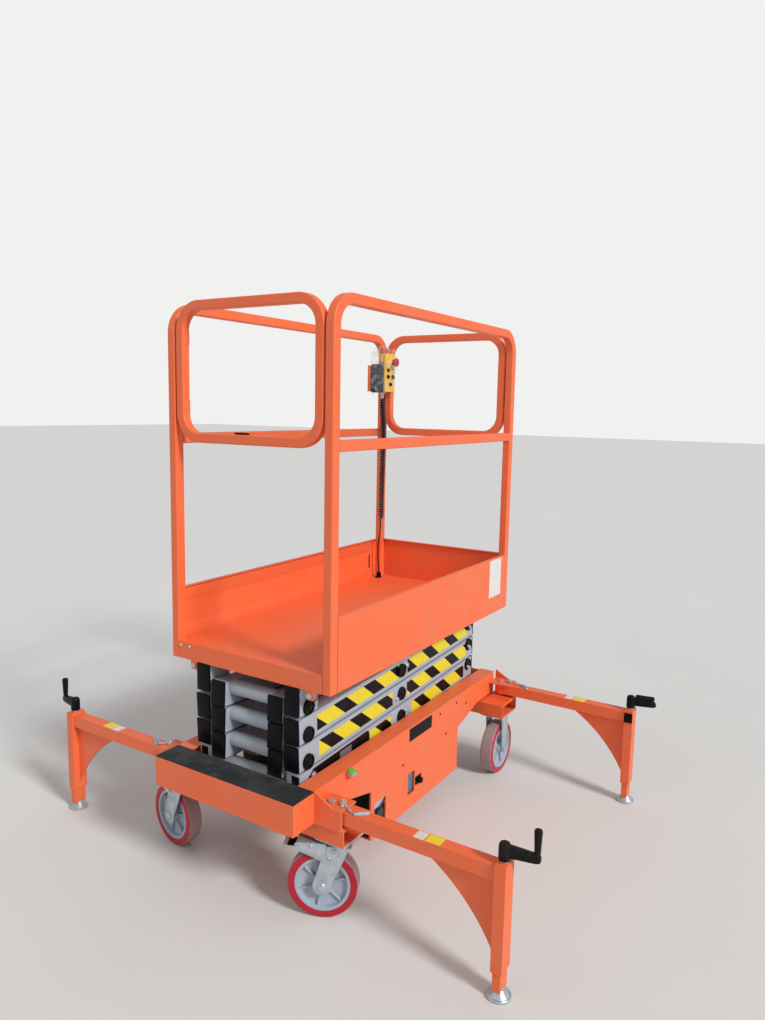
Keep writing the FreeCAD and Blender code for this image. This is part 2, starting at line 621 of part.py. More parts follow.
def jack_leg():
    x = -OUTRIGGER_X
    return block(x - INNER_LEG_LENGTH / 2, x + INNER_LEG_LENGTH / 2, -LEG_Y - INNER_LEG_WIDTH / 2,
                 -LEG_Y + INNER_LEG_WIDTH / 2, PAD_BOSS_TOP, LEG_TOP - JACK_HIDDEN)


def jack_pad():
    x = -OUTRIGGER_X
    disc = rod_z(x, -LEG_Y, PAD_RADIUS, 0, PAD_HEIGHT)
    dome = Part.makeCone(PAD_RADIUS - PAD_RIM, PAD_BOSS_RADIUS, PAD_BOSS_TOP - PAD_HEIGHT,
                         Vector(x, -LEG_Y, PAD_HEIGHT), UP)
    return fused([disc, dome])


def crank(heading, handle_up):
    """Crank on the near right leg; heading in degrees from +X, handle standing or folded back."""
    base = LEG_TOP + LEG_CAP
    top = base + CRANK_HUB_HEIGHT
    low = base + CRANK_ARM_LIFT
    half = CRANK_ARM_WIDTH / 2
    tip_top = low + CRANK_TIP_DEPTH
    hub = rod_z(0, 0, CRANK_HUB_RADIUS, base, top)
    arm = prism([(0, -half, low), (CRANK_REACH, -half, low), (CRANK_REACH, -half, tip_top),
                 (0, -half, low + CRANK_ROOT_DEPTH)], (0, CRANK_ARM_WIDTH, 0))
    tip = rod_z(CRANK_REACH, 0, half, low, tip_top)
    if handle_up:
        handle = Part.makeCone(HANDLE_NECK_RADIUS, HANDLE_RADIUS, HANDLE_LENGTH,
                               Vector(CRANK_REACH, 0, low), UP)
    else:
        handle = Part.makeCone(HANDLE_NECK_RADIUS, HANDLE_RADIUS, HANDLE_LENGTH - CRANK_TIP_DEPTH,
                               Vector(CRANK_REACH + half / 2, 0, tip_top + half / 2), Vector(-1, 0, 0))
    whole = fused([hub, arm, tip, handle])
    whole.rotate(Vector(0, 0, 0), UP, heading)
    whole.translate(Vector(-OUTRIGGER_X, -LEG_Y, 0))
    return whole


def arm_bar(y0, y1, bores, lean, near_end):
    """Square-ended scissor arm with its near pin at the origin and its far pin on +X.

    The tube is turned by lean about the middle pin, so that the end pins sit off its centre line.
    """
    half = ARM_DEPTH / 2
    low, high = min(y0, y1), max(y0, y1)
    bar = block(-near_end, ARM_PIN_SPAN + ARM_END, low, high, -half, half)
    for start, stop in ((BLOCK_HALF, ARM_MIDDLE - BLOCK_HALF),
                        (ARM_MIDDLE + BLOCK_HALF, ARM_PIN_SPAN - BLOCK_HALF)):
        bar = bar.cut(block(start, stop, low + ARM_WALL, high - ARM_WALL, -half + ARM_WALL, half - ARM_WALL))
    bar.rotate(Vector(ARM_MIDDLE, 0, 0), ACROSS, lean)
    for x in bores:
        bar = bar.cut(rod_y(x, 0, PIN_RADIUS + RUN_CLEARANCE, low - 1, high + 1))
    return bar


def outer_arms(level):
    """Right and left outer arm; the lowest ones are shorter behind their near pin, to pass the step."""
    bores = (0, ARM_MIDDLE, ARM_PIN_SPAN)
    near_end = LOW_ARM_END if level == 1 else ARM_END
    return [arm_bar(side * OUTER_ARM_Y, side * OUTER_FACE_Y, bores, ARM_LEAN, near_end) for side in (-1, 1)]


def outer_pins():
    """Shafts through both ends and short pins at the middle, with round heads outside."""
    head_y = OUTER_FACE_Y + PIN_HEAD
    pins = []
    for x in (0, ARM_PIN_SPAN):
        shaft = [rod_y(x, 0, PIN_RADIUS, -OUTER_FACE_Y, OUTER_FACE_Y)]
        shaft += [rod_y(x, 0, PIN_HEAD_RADIUS, side * OUTER_FACE_Y, side * head_y) for side in (-1, 1)]
        pins.append(fused(shaft))
    for side in (-1, 1):
        pins.append(fused([rod_y(ARM_MIDDLE, 0, PIN_RADIUS, side * INNER_ARM_Y, side * OUTER_FACE_Y),
                           rod_y(ARM_MIDDLE, 0, PIN_HEAD_RADIUS, side * OUTER_FACE_Y, side * head_y)]))
    return pins


def inner_frame(level):
    """Inner arms, the round cross tubes between them, and what the level carries, face to face."""
    inner_face = INNER_ARM_Y + ARM_WIDTH
    bores = (0, ARM_MIDDLE) if level == 1 else (0, ARM_MIDDLE, ARM_PIN_SPAN)
    solids = [arm_bar(side * INNER_ARM_Y, side * inner_face, bores, -ARM_LEAN, ARM_END) for side in (-1, 1)]
    for x in (0, ARM_PIN_SPAN):
        tube = rod_y(x, 0, CROSS_TUBE_RADIUS, -INNER_ARM_Y, INNER_ARM_Y)
        bore = rod_y(x, 0, PIN_RADIUS + CROSS_TUBE_PLAY, -INNER_ARM_Y - 1, INNER_ARM_Y + 1)
        solids.append(tube.cut(bore))
    if level == 1:
        solids.append(rod_y(BARREL_FOOT, -BARREL_DROP, CYLINDER_TUBE_RADIUS, -INNER_ARM_Y, INNER_ARM_Y))
        for side in (-1, 1):
            solids.append(rod_y(ARM_PIN_SPAN, 0, PIN_RADIUS, side * inner_face,
                                side * (OUTER_FACE_Y - AXLE_END_INSET)))
    if level == 2:
        ear = EYE_WIDTH / 2 + EAR_GAP
        for side in (-1, 1):
            solids.append(fused([
                rod_y(ROD_FOOT, ROD_LIFT, CYLINDER_TUBE_RADIUS, side * ear, side * INNER_ARM_Y),
                rod_y(ROD_FOOT, ROD_LIFT, EYE_RADIUS, side * ear, side * (ear + EAR_WALL))]))
    return solids


def placed(shapes, level, slope):
    """Turns shapes from an arm's own frame to its place; slope is 1 for outer arms, -1 for inner."""
    near_z = LOW_PIN_Z + ARM_RISE * (level - 1 if slope > 0 else level)
    result = []
    for shape in shapes:
        turned = shape.copy()
        turned.rotate(Vector(0, 0, 0), ACROSS, -slope * REST_ANGLE)
        turned.translate(Vector(NEAR_PIN_X, 0, near_z))
        result.append(turned)
    return result


def rollers(place_x, place_z, y0, y1):
    shapes = []
    for side in (-1, 1):
        wheel = rod_y(place_x, place_z, ROLLER_RADIUS - ROLLER_GAP / 2, side * y0, side * y1)
        shapes.append(wheel.cut(rod_y(place_x, place_z, PIN_RADIUS + RUN_CLEARANCE,
                                      side * (y0 - 1), side * (y1 + 1))))
    return shapes


def foot_point(level, along, offset):
    """Point on an inner frame, from its near pin along the arm and square to it."""
    angle = math.radians(REST_ANGLE)
    near_z = LOW_PIN_Z + ARM_RISE * level
    x = NEAR_PIN_X + along * math.cos(angle) + offset * math.sin(angle)
    z = near_z - along * math.sin(angle) + offset * math.cos(angle)
    return Vector(x, 0, z)


def cylinder_parts():
    """Barrel and rod between the feet on inner frames 1 and 2."""
    foot = foot_point(1, BARREL_FOOT, -BARREL_DROP)
    head = foot_point(2, ROD_FOOT, ROD_LIFT)
    span = head.sub(foot)
    length = span.Length
    direction = Vector(span.x, 0, span.z).normalize()
    half = EYE_WIDTH / 2

    def at(distance):
        return foot.add(Vector(direction.x * distance, 0, direction.z * distance))

    eye_bore = CYLINDER_TUBE_RADIUS + RUN_CLEARANCE
    start = eye_bore + EYE_WALL
    mouth = length - EYE_RADIUS - ROD_SHOWING
    tube = Part.makeCylinder(BARREL_RADIUS, mouth - start, at(start), direction)
    collar = Part.makeCylinder(BARREL_RADIUS + BARREL_COLLAR, COLLAR_LENGTH,
                               at(mouth - COLLAR_LENGTH), direction)
    eye = rod_y(foot.x, foot.z, EYE_RADIUS, -half, half)
    barrel = fused([tube, collar, eye])
    barrel = barrel.cut(rod_y(foot.x, foot.z, eye_bore, -half - 10, half + 10))
    room = Part.makeCylinder(ROD_RADIUS + ROD_CLEARANCE, mouth, at(BARREL_FLOOR), direction)
    barrel = barrel.cut(room)
    rod = Part.makeCylinder(ROD_RADIUS, length - ROD_START, at(ROD_START), direction)
    rod_eye = rod_y(head.x, head.z, EYE_RADIUS, -half, half)
    return barrel, fused([rod, rod_eye])


def deck():
    """Deck plate with its folded near edge, open at the corners for the posts and at the cord gland."""
    half_length = PLATFORM_LENGTH / 2
    half_width = PLATFORM_WIDTH / 2 - DECK_WALL
    plate = block(-half_length, half_length - DECK_WALL, -half_width, half_width,
                  DECK_TOP - DECK_WALL, DECK_TOP)
    edge = block(-half_length, -half_length + DECK_WALL, -half_width, half_width, DECK_BOTTOM, DECK_TOP)
    shape = fused([plate, edge])
    for end in (-1, 1):
        for side in (-1, 1):
            corner = block(end * (half_length - POST_LENGTH), end * (half_length + 1),
                           side * (PLATFORM_WIDTH / 2 - POST_WIDTH), side * PLATFORM_WIDTH,
                           DECK_BOTTOM - 1, DECK_TOP + 1)
            shape = shape.cut(corner)
    return shape.cut(gland_plate())


def gland_plate():
    """Corner plate of the deck that the cord's gland stands on."""
    x, y = GLAND_PLACE
    return block(x - GLAND_BASE_LENGTH + GLAND_BASE_AHEAD, PLATFORM_LENGTH / 2 - POST_LENGTH,
                 y - GLAND_BASE_WIDTH / 2, PLATFORM_WIDTH / 2 - DECK_WALL, DECK_TOP - DECK_WALL, DECK_TOP)


def deck_frame():
    """Rails under the deck, the far roller's track and the ties between the rails."""
    half_length = PLATFORM_LENGTH / 2
    plate_low = DECK_TOP - DECK_WALL
    track_low = TOP_PIN_Z + ROLLER_RADIUS + ROLLER_GAP / 2
    rail_x = half_length - UNDERRAIL_INSET
    pieces = []
    for side in (-1, 1):
        pieces.append(box_tube(-rail_x, rail_x, side * UNDERRAIL_Y, side * (UNDERRAIL_Y + UNDERRAIL_WIDTH),
                               UNDERRAIL_BOTTOM, plate_low, RAIL_WALL, 0))
        pieces.append(box_tube(ROLLER_RAIL_NEAR_X, ROLLER_RAIL_FAR_X, side * INNER_ARM_Y,
                               side * (INNER_ARM_Y + ARM_WIDTH), track_low, UNDERRAIL_BOTTOM, RAIL_WALL, 0))
    for x in (-rail_x, rail_x - TIE_LENGTH):
        pieces.append(block(x, x + TIE_LENGTH, -UNDERRAIL_Y, UNDERRAIL_Y, UNDERRAIL_BOTTOM + TIE_LIFT,
                            plate_low))
    return fused(pieces)


def pivot_tubes():
    """Upright box tubes under the deck's near corners, with the pins of the top inner arms."""
    near = -PLATFORM_LENGTH / 2 + DECK_WALL
    low = TOP_PIN_Z - PIVOT_TUBE_DROP
    head_y = OUTER_FACE_Y + PIN_HEAD
    tubes = []
    for side in (-1, 1):
        tubes.append(fused([
            box_tube(near, NEAR_PIN_X + PIVOT_TUBE_REACH, side * OUTER_ARM_Y, side * OUTER_FACE_Y, low,
                     DECK_TOP - DECK_WALL, ARM_WALL, 0),
            rod_y(NEAR_PIN_X, TOP_PIN_Z, PIN_RADIUS, side * INNER_ARM_Y, side * head_y),
            rod_y(NEAR_PIN_X, TOP_PIN_Z, PIN_HEAD_RADIUS, side * OUTER_FACE_Y, side * head_y)]))
    return tubes


def toe_boards():
    """Side panels and far end panel with a narrow lip folded inwards."""
    half_length = PLATFORM_LENGTH / 2
    half_width = PLATFORM_WIDTH / 2
    inner_x = half_length - POST_LENGTH
    inner_y = half_width - POST_WIDTH
    shapes = []
    for side in (-1, 1):
        panel = block(-inner_x, inner_x, side * half_width, side * (half_width - DECK_WALL),
                      DECK_BOTTOM, TOE_TOP)
        lip = block(-inner_x, inner_x, side * half_width, side * (half_width - TOE_LIP),
                    TOE_TOP - DECK_WALL, TOE_TOP)
        shapes.append(fused([panel, lip]))
    panel = block(half_length - DECK_WALL, half_length, -inner_y, inner_y, DECK_BOTTOM, TOE_TOP)
    lip = block(half_length - TOE_LIP, half_length, -inner_y, inner_y, TOE_TOP - DECK_WALL, TOE_TOP)
    shapes.append(fused([panel, lip]))
    return shapes


def rounded_face(x0, x1, z0, z1, corner, round_bottom):
    """Face in the XZ plane with rounded top corners, and rounded bottom corners if asked."""
    k = corner * (1 - math.sqrt(0.5))

    def spot(x, z):
        return Vector(x, 0, z)

    def arc(a, b, c):
        return Part.Arc(spot(*a), spot(*b), spot(*c)).toShape()

    def line(a, b):
        return Part.LineSegment(spot(*a), spot(*b)).toShape()

    c = corner
    low_left = (x0, z0 + c) if round_bottom else (x0, z0)
    low_right = (x1, z0 + c) if round_bottom else (x1, z0)
    edges = [line(low_left, (x0, z1 - c)), arc((x0, z1 - c), (x0 + k, z1 - k), (x0 + c, z1)),
             line((x0 + c, z1), (x1 - c, z1)), arc((x1 - c, z1), (x1 - k, z1 - k), (x1, z1 - c)),
             line((x1, z1 - c), low_right)]
    if round_bottom:
        edges += [arc((x1, z0 + c), (x1 - k, z0 + k), (x1 - c, z0)), line((x1 - c, z0), (x0 + c, z0)),
                  arc((x0 + c, z0), (x0 + k, z0 + k), (x0, z0 + c))]
    else:
        edges.append(line(low_right, low_left))
    return Part.Face(Part.Wire(edges))


def bent_tube(x0, x1, z0, z1, corner, size_x, size_z, depth, closed):
    """Bent rectangular tube in the XZ plane: an upright hoop, or a closed loop."""
    low = z0 + size_z if closed else z0 - 1

    def ring(outer_inset, inner_inset, thickness):
        start = z0 + (outer_inset if closed else -outer_inset)
        outer = rounded_face(x0 + outer_inset, x1 - outer_inset, start, z1 - outer_inset,
                             corner - outer_inset, closed)
        inner_corner = corner - max(size_x, size_z) + inner_inset
        inner = rounded_face(x0 + size_x - inner_inset, x1 - size_x + inner_inset,
                             low - (inner_inset if closed else 2), z1 - size_z + inner_inset,
                             inner_corner, closed)
        solid = outer.cut(inner).extrude(Vector(0, thickness, 0))
        solid.translate(Vector(0, (depth - thickness) / 2, 0))
        return solid

    skin = ring(0, 0, depth)
    edges = []
    for edge in skin.Edges:
        box = edge.BoundBox
        flat = box.YLength < 0.01
        at_foot = not closed and box.ZLength < 0.01 and abs(box.ZMin - z0) < 0.01
        if flat and not at_foot:
            edges.append(edge)
    skin = skin.makeFillet(TUBE_EDGE, edges)
    return skin.cut(ring(TUBE_WALL, TUBE_WALL, depth - 2 * TUBE_WALL))


def side_guards():
    """Two hoops with mid rails, their posts standing in the platform's corners."""
    half_length = PLATFORM_LENGTH / 2
    hoop = bent_tube(-half_length, half_length, DECK_BOTTOM, GUARD_TOP, GUARD_CORNER,
                     POST_LENGTH, RAIL_HEIGHT, POST_WIDTH, False)
    inner_x = half_length - POST_LENGTH
    rail = block(-inner_x - 1, inner_x + 1, 0, POST_WIDTH, MID_RAIL_BOTTOM, MID_RAIL_BOTTOM + RAIL_HEIGHT)
    long_edges = [e for e in rail.Edges if e.BoundBox.XLength > inner_x]
    rail = rail.makeFillet(TUBE_EDGE, long_edges)
    hollow = block(-inner_x, inner_x, TUBE_WALL, POST_WIDTH - TUBE_WALL, MID_RAIL_BOTTOM + TUBE_WALL,
                   MID_RAIL_BOTTOM + RAIL_HEIGHT - TUBE_WALL)
    right = fused([hoop, rail.cut(hollow)])
    right.translate(Vector(0, -PLATFORM_WIDTH / 2, 0))
    left = mirrored(right, ACROSS)
    inner_y = PLATFORM_WIDTH / 2 - POST_WIDTH
    for z in hinge_heights():
        low, high = z - HINGE_HEIGHT - HINGE_GAP, z - HINGE_GAP
        knuckle = rod_z(HINGE_X, HINGE_Y, HINGE_RADIUS, low, high)
        pin = rod_z(HINGE_X, HINGE_Y, HINGE_PIN_RADIUS, z - HINGE_HEIGHT, z + HINGE_HEIGHT)
        leaf = block(HINGE_X - LEAF_LENGTH * 0.6, HINGE_X + LEAF_LENGTH * 0.4, HINGE_Y,
                     inner_y + TUBE_WALL, low, high)
        left = fused([left, knuckle, pin, leaf])
    return [right, left]


def hinge_heights():
    return (LOOP_BOTTOM + HINGE_INSET, LOOP_TOP - HINGE_INSET)


def end_loop(half):
    """Closed rounded hoop across the platform, drawn in the YZ plane."""
    loop = bent_tube(-half, half, LOOP_BOTTOM, LOOP_TOP, LOOP_CORNER, LOOP_TUBE, LOOP_TUBE,
                     LOOP_TUBE, True)
    loop.rotate(Vector(0, 0, 0), UP, 90)
    return loop


def far_loop():
    inner_y = PLATFORM_WIDTH / 2 - POST_WIDTH
    half = inner_y - LOOP_GAP
    loop = end_loop(half)
    loop.translate(Vector(PLATFORM_LENGTH / 2 - LOOP_INSET, 0, 0))
    x1 = PLATFORM_LENGTH / 2 - 4 * LOOP_INSET
    pieces = [loop]
    for side in (-1, 1):
        for z in (LOOP_BOTTOM + TAB_INSET, LOOP_TOP - TAB_INSET):
            pieces.append(block(x1 - TAB_LENGTH, x1, side * (half - 1), side * inner_y,
                                z - TAB_HEIGHT / 2, z + TAB_HEIGHT / 2))
    return fused(pieces)


def entry_gate():
    inner_y = PLATFORM_WIDTH / 2 - POST_WIDTH
    shape = end_loop(inner_y - LOOP_GAP)
    shape.translate(Vector(-PLATFORM_LENGTH / 2 + LOOP_TUBE + GATE_INSET, 0, 0))
    for z in hinge_heights():
        lug = fused([rod_z(HINGE_X, HINGE_Y, HINGE_RADIUS, z, z + HINGE_HEIGHT),
                     block(HINGE_X - HINGE_OFFSET, HINGE_X, HINGE_Y - HINGE_RADIUS,
                           HINGE_Y - HINGE_RADIUS + LUG_WIDTH, z, z + HINGE_HEIGHT)])
        bore = rod_z(HINGE_X, HINGE_Y, HINGE_PIN_RADIUS + RUN_CLEARANCE, z - 1, z + HINGE_HEIGHT + 1)
        shape = fused([shape, lug]).cut(bore)
    return shape


def control_box():
    body = block(*BOX_X, *BOX_Y, *BOX_Z)
    post_x = PLATFORM_LENGTH / 2 - POST_LENGTH
    bracket = block(BOX_X[0] + BOX_BRACKET_INSET, post_x, BOX_Y[1], BOX_Y[1] + BOX_BRACKET,
                    BOX_Z[0] + BOX_BRACKET_INSET, BOX_Z[1] - BOX_BRACKET_INSET)
    socket = rod_z(CORD_X, CORD_Y, SOCKET_RADIUS, CORD_TOP, BOX_Z[0])
    return fused([body, bracket, socket])


def control_face():
    front = BOX_Y[0] - FACE_THICKNESS
    face = block(BOX_X[0] + FACE_MARGIN, BOX_X[1] - FACE_MARGIN, front, BOX_Y[0], BOX_Z[0] + FACE_MARGIN,
                 FACE_TOP)
    x = BOX_X[1] - BUTTON_INSET
    z = FACE_TOP - BUTTON_DROP
    end = front - BUTTON_HEIGHT
    button = rod_y(x, z, BUTTON_RADIUS, end, end + BUTTON_CAP)
    stem = rod_y(x, z, STEM_RADIUS, end + BUTTON_CAP / 2, front)
    return fused([face, button, stem])


def cord_route(steps):
    return [Vector(CORD_X + x, CORD_Y + y, CORD_TOP + z) for x, y, z in steps]


def swept(points, radius, name):
    """Tube along straight runs joined by the largest tangent arcs that the runs allow."""
    edges = []
    cursor = points[0]
    radii = []
    for before, corner, after in zip(points, points[1:], points[2:]):
        back = before.sub(corner)
        ahead = after.sub(corner)
        short = min(back.Length, ahead.Length)
        turn = math.pi - back.getAngle(ahead)
        if turn < 0.002:
            continue
        cut = 0.45 * short
        bend = cut / math.tan(turn / 2)
        radii.append(bend)
        a = corner.add(Vector(back).normalize().multiply(cut))
        b = corner.add(Vector(ahead).normalize().multiply(cut))
        bisector = Vector(back).normalize().add(Vector(ahead).normalize()).normalize()
        reach = bend / math.cos(turn / 2) - bend
        m = corner.add(bisector.multiply(reach))
        edges.append(Part.LineSegment(cursor, a).toShape())
        edges.append(Part.Arc(a, m, b).toShape())
        cursor = b
    edges.append(Part.LineSegment(cursor, points[-1]).toShape())
    path = Part.Wire(edges)
    first = points[1].sub(points[0])
    profile = Part.Wire([Part.makeCircle(radius, points[0], first)])
    tube = path.makePipeShell([profile], True, False)
    expected = math.pi * radius ** 2 * path.Length
    print(f"{name}: path {path.Length:.1f} volume ratio {tube.Volume / expected:.4f} least radius "
          f"{min(radii):.0f}")
    return tube


def cord_gland():
    x, y = GLAND_PLACE
    front = x + GLAND_BASE_AHEAD
    side = GLAND_BASE_WIDTH / 2
    base = block(front - GLAND_BASE_LENGTH, front, y - side, y + side, DECK_TOP, DECK_TOP + GLAND_BASE)
    nut = rod_z(x, y, GLAND_RADIUS, DECK_TOP + GLAND_BASE, DECK_TOP + GLAND_HEIGHT)
    return fused([gland_plate(), base, nut])


def corner_copies(shape):
    """Near right shape as the four named corner pieces."""
    left = mirrored(shape, ACROSS)
    return {"near_right": shape, "near_left": left, "far_right": mirrored(shape, ALONG),
            "far_left": mirrored(left, ALONG)}


# Crank headings in degrees from +X on the near right corner, before mirroring, and handle up or folded.
CRANKS = {"near_right": (-78.0, True), "near_left": (-78.0, True),
          "far_right": (-107.0, False), "far_left": (-107.0, True)}

# Wheel places: x, y of the wheel's centre and the heading of its rolling direction.
SWIVELS = {"near_right": (-CASTOR_X, -CASTOR_Y, 116.0), "near_left": (-CASTOR_X, CASTOR_Y, 80.0)}


def build():
    write("chassis_frame", Part.makeCompound(chassis_frame()))
    write("step_box", step_box())
    write("step_tread", step_tread())
    write("power_pack", power_pack())
    write("base_tracks", Part.makeCompound(base_rails() + base_brackets()))
    write("panel_inserts", Part.makeCompound(panel_inserts()))
    write("corner_pins", Part.makeCompound(corner_pins()))
    write("level_vial", level_vial())
    plates = [castor_plate(x, y, PLATE_LENGTH, PLATE_WIDTH) for x, y, turn in SWIVELS.values()]
    forks = [fixed_fork(side * CASTOR_Y) for side in (-1, 1)]
    write("castor_mounts", Part.makeCompound(plates + forks))

    places = {}
    for name, (x, y, turn) in SWIVELS.items():
        fork = swivel_fork()
        fork.rotate(Vector(0, 0, 0), UP, turn)
        fork.translate(Vector(x, y, 0))
        write("castor_fork_" + name, fork)
        angle = math.radians(turn)
        places[name] = (x + CASTOR_TRAIL * math.cos(angle), y + CASTOR_TRAIL * math.sin(angle), turn)
    places["far_right"] = (FIXED_WHEEL_X, -CASTOR_Y, 0.0)
    places["far_left"] = (FIXED_WHEEL_X, CASTOR_Y, 0.0)
    for name, (x, y, turn) in places.items():
        for label, shape in (("tyre_", tyre()), ("wheel_core_", wheel_core())):
            shape.rotate(Vector(0, 0, 0), UP, turn)
            shape.translate(Vector(x, y, WHEEL_RADIUS))
            write(label + name, shape)

    for label, shape in (("outrigger_arm_", outrigger_arm()), ("jack_leg_", jack_leg()),
                         ("jack_pad_", jack_pad())):
        for name, copy in corner_copies(shape).items():
            write(label + name, copy)
    for name, (heading, handle_up) in CRANKS.items():
        write("crank_" + name, corner_copies(crank(heading, handle_up))[name])

    for level in (1, 2, 3):
        write(f"outer_frame_{level}", Part.makeCompound(placed(outer_arms(level), level, 1)))
        write(f"pivot_pins_{level}", Part.makeCompound(placed(outer_pins(), level, 1)))
        write(f"inner_frame_{level}", Part.makeCompound(placed(inner_frame(level), level, -1)))
    write("base_roller", Part.makeCompound(rollers(FAR_PIN_X, LOW_PIN_Z, OUTER_ARM_Y + ROLLER_MARGIN,
                                                   OUTER_FACE_Y - ROLLER_MARGIN)))
    write("deck_roller", Part.makeCompound(rollers(FAR_PIN_X, TOP_PIN_Z, INNER_ARM_Y + ROLLER_MARGIN,
                                                   INNER_ARM_Y + ARM_WIDTH)))
    barrel, rod = cylinder_parts()
    write("cylinder_barrel", barrel)
    write("cylinder_rod", rod)

    write("deck", deck())
    write("deck_frame", deck_frame())
    write("pivot_tubes", Part.makeCompound(pivot_tubes()))
    write("toe_boards", Part.makeCompound(toe_boards()))
    write("side_guards", Part.makeCompound(side_guards()))
    write("far_loop", far_loop())
    write("entry_gate", entry_gate())
    write("control_box", control_box())
    write("control_face", control_face())
    write("cord_gland", cord_gland())
    gland_top = Vector(*GLAND_PLACE, DECK_TOP + GLAND_HEIGHT)
    write("cord_coil", swept(cord_route(COIL_STEPS), COIL_RADIUS, "cord_coil"))
    write("cord_lead", swept(cord_route(LEAD_STEPS) + [gland_top], LEAD_RADIUS, "cord_lead"))


os.makedirs("parts", exist_ok=True)
build()
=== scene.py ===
import json
import math

import bpy
from mathutils import Matrix, Vector


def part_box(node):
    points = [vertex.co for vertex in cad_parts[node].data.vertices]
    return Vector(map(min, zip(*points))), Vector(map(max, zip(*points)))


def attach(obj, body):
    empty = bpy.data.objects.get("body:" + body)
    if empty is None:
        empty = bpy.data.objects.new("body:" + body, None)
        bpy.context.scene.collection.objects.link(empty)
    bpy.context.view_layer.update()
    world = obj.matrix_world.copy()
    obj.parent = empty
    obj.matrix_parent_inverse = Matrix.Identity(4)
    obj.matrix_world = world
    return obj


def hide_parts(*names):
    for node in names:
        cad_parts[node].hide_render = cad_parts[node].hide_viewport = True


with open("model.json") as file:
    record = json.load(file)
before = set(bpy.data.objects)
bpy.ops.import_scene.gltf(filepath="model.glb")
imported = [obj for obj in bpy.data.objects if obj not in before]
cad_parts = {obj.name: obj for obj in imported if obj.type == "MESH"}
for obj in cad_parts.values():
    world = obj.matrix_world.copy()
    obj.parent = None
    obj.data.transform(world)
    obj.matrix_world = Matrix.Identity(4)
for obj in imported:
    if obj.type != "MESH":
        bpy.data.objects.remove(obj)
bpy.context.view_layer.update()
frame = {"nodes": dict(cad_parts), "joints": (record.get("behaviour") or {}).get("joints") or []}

bl_info = {
    "name": "Push-around scissor lift",
    "version": (1, 0, 0),
    "blender": (4, 5, 0),
    "location": "View3D > Sidebar > Scissor lift",
    "description": "Finishes and small parts of a folded push-around scissor lift",
    "category": "Object",
}

SHIFT = Vector((0.0335, 0.0, 0.0))
SIDES = (("right", -1), ("left", 1))


def spot(x, y, z):
    """Point given in millimetres about the machine's middle, in metres in the model's frame."""
    return Vector((x, y, z)) / 1000 + SHIFT


# Colours

def linear(code):
    """Linear colour of an sRGB hex value, for a colour setting."""
    values = [int(code[i:i + 2], 16) / 255 for i in (1, 3, 5)]
    return [v / 12.92 if v <= 0.04045 else ((v + 0.055) / 1.055) ** 2.4 for v in values] + [1.0]


def colour_setting(name, code, description):
    return bpy.props.FloatVectorProperty(name=name, description=description, subtype="COLOR", size=4,
                                         min=0.0, max=1.0, default=linear(code))


def length_setting(name, value, description):
    return bpy.props.FloatProperty(name=name, description=description, default=value, unit="LENGTH",
                                   min=0.0, precision=4)


class LiftFinishes(bpy.types.PropertyGroup):
    """Colours of the lift's finishes."""
    orange: colour_setting("Powder coat", "#EC6A3A", "Orange polyester powder coat on the steelwork")
    scissor_grey: colour_setting("Arm paint", "#A3ABB5", "Blue grey paint on the scissor arms")
    zinc: colour_setting("Zinc plate", "#C6D0D8", "Bright zinc plate on forks, pads and bolts")
    black: colour_setting("Black steel", "#0A0B0E", "Black coated steel of cranks and bosses")
    plastic: colour_setting("Black plastic", "#08090C", "Moulded end plugs and covers")
    tyre: colour_setting("Tyre", "#AE0F28", "Red cast polyurethane tread")
    core: colour_setting("Wheel core", "#A3ABB8", "Moulded nylon wheel core")
    tape_yellow: colour_setting("Tape yellow", "#E6D233", "Yellow stripes of the hazard tape")
    tape_black: colour_setting("Tape black", "#050404", "Black stripes of the hazard tape")
    grit: colour_setting("Grit mat", "#202629", "Gritted mat on the step")
    box: colour_setting("Control box", "#223C4B", "Blue grey ABS of the control box")
    box_face: colour_setting("Control face", "#E8B92A", "Yellow ABS of the control box's face")
    button: colour_setting("Stop button", "#B5122A", "Red mushroom button")
    vial: colour_setting("Level vial", "#4FB321", "Green liquid of the bubble level")
    cord: colour_setting("Cord", "#17161A", "Black sheath of the curly cord")
    label: colour_setting("Blank label", "#D9D6CF", "Blank stickers")
    floor: colour_setting("Floor", "#D9D8D5", "Pale studio floor")


class LiftSizes(bpy.types.PropertyGroup):
    """Sizes of the small parts that are made here."""
    cord_diameter: length_setting("Cord", 0.006, "Diameter of the curly cord")
    coil_radius: length_setting("Coil", 0.010, "Radius of the curly cord's centre line")
    coil_pitch: length_setting("Coil pitch", 0.0096, "Height of one turn of the curly cord")
    tape_width: length_setting("Tape", 0.047, "Width of the hazard tape")
    tape_thickness: length_setting("Tape thickness", 0.0004, "Thickness of the hazard tape")
    plug_depth: length_setting("Plug", 0.0065, "How far an end plug stands out of its tube")
    boss_radius: length_setting("Boss", 0.0226, "Radius of the black bosses on the arm pins")
    boss_height: length_setting("Boss height", 0.0088, "Height of a boss over the arm")


def finishes():
    return bpy.context.scene.lift_finishes


def sizes():
    return bpy.context.scene.lift_sizes


# Materials

def add_node(material, kind, settings=(), links=()):
    """Adds a node, gives its attributes or sockets their settings, and links sockets from (node, output)."""
    node = material.node_tree.nodes.new(kind)
    for key, value in dict(settings).items():
        if isinstance(key, str) and hasattr(node, key):
            setattr(node, key, value)
        else:
            node.inputs[key].default_value = value
    for key, (source, output) in dict(links).items():
        material.node_tree.links.new(source.outputs[output], node.inputs[key])
    return node


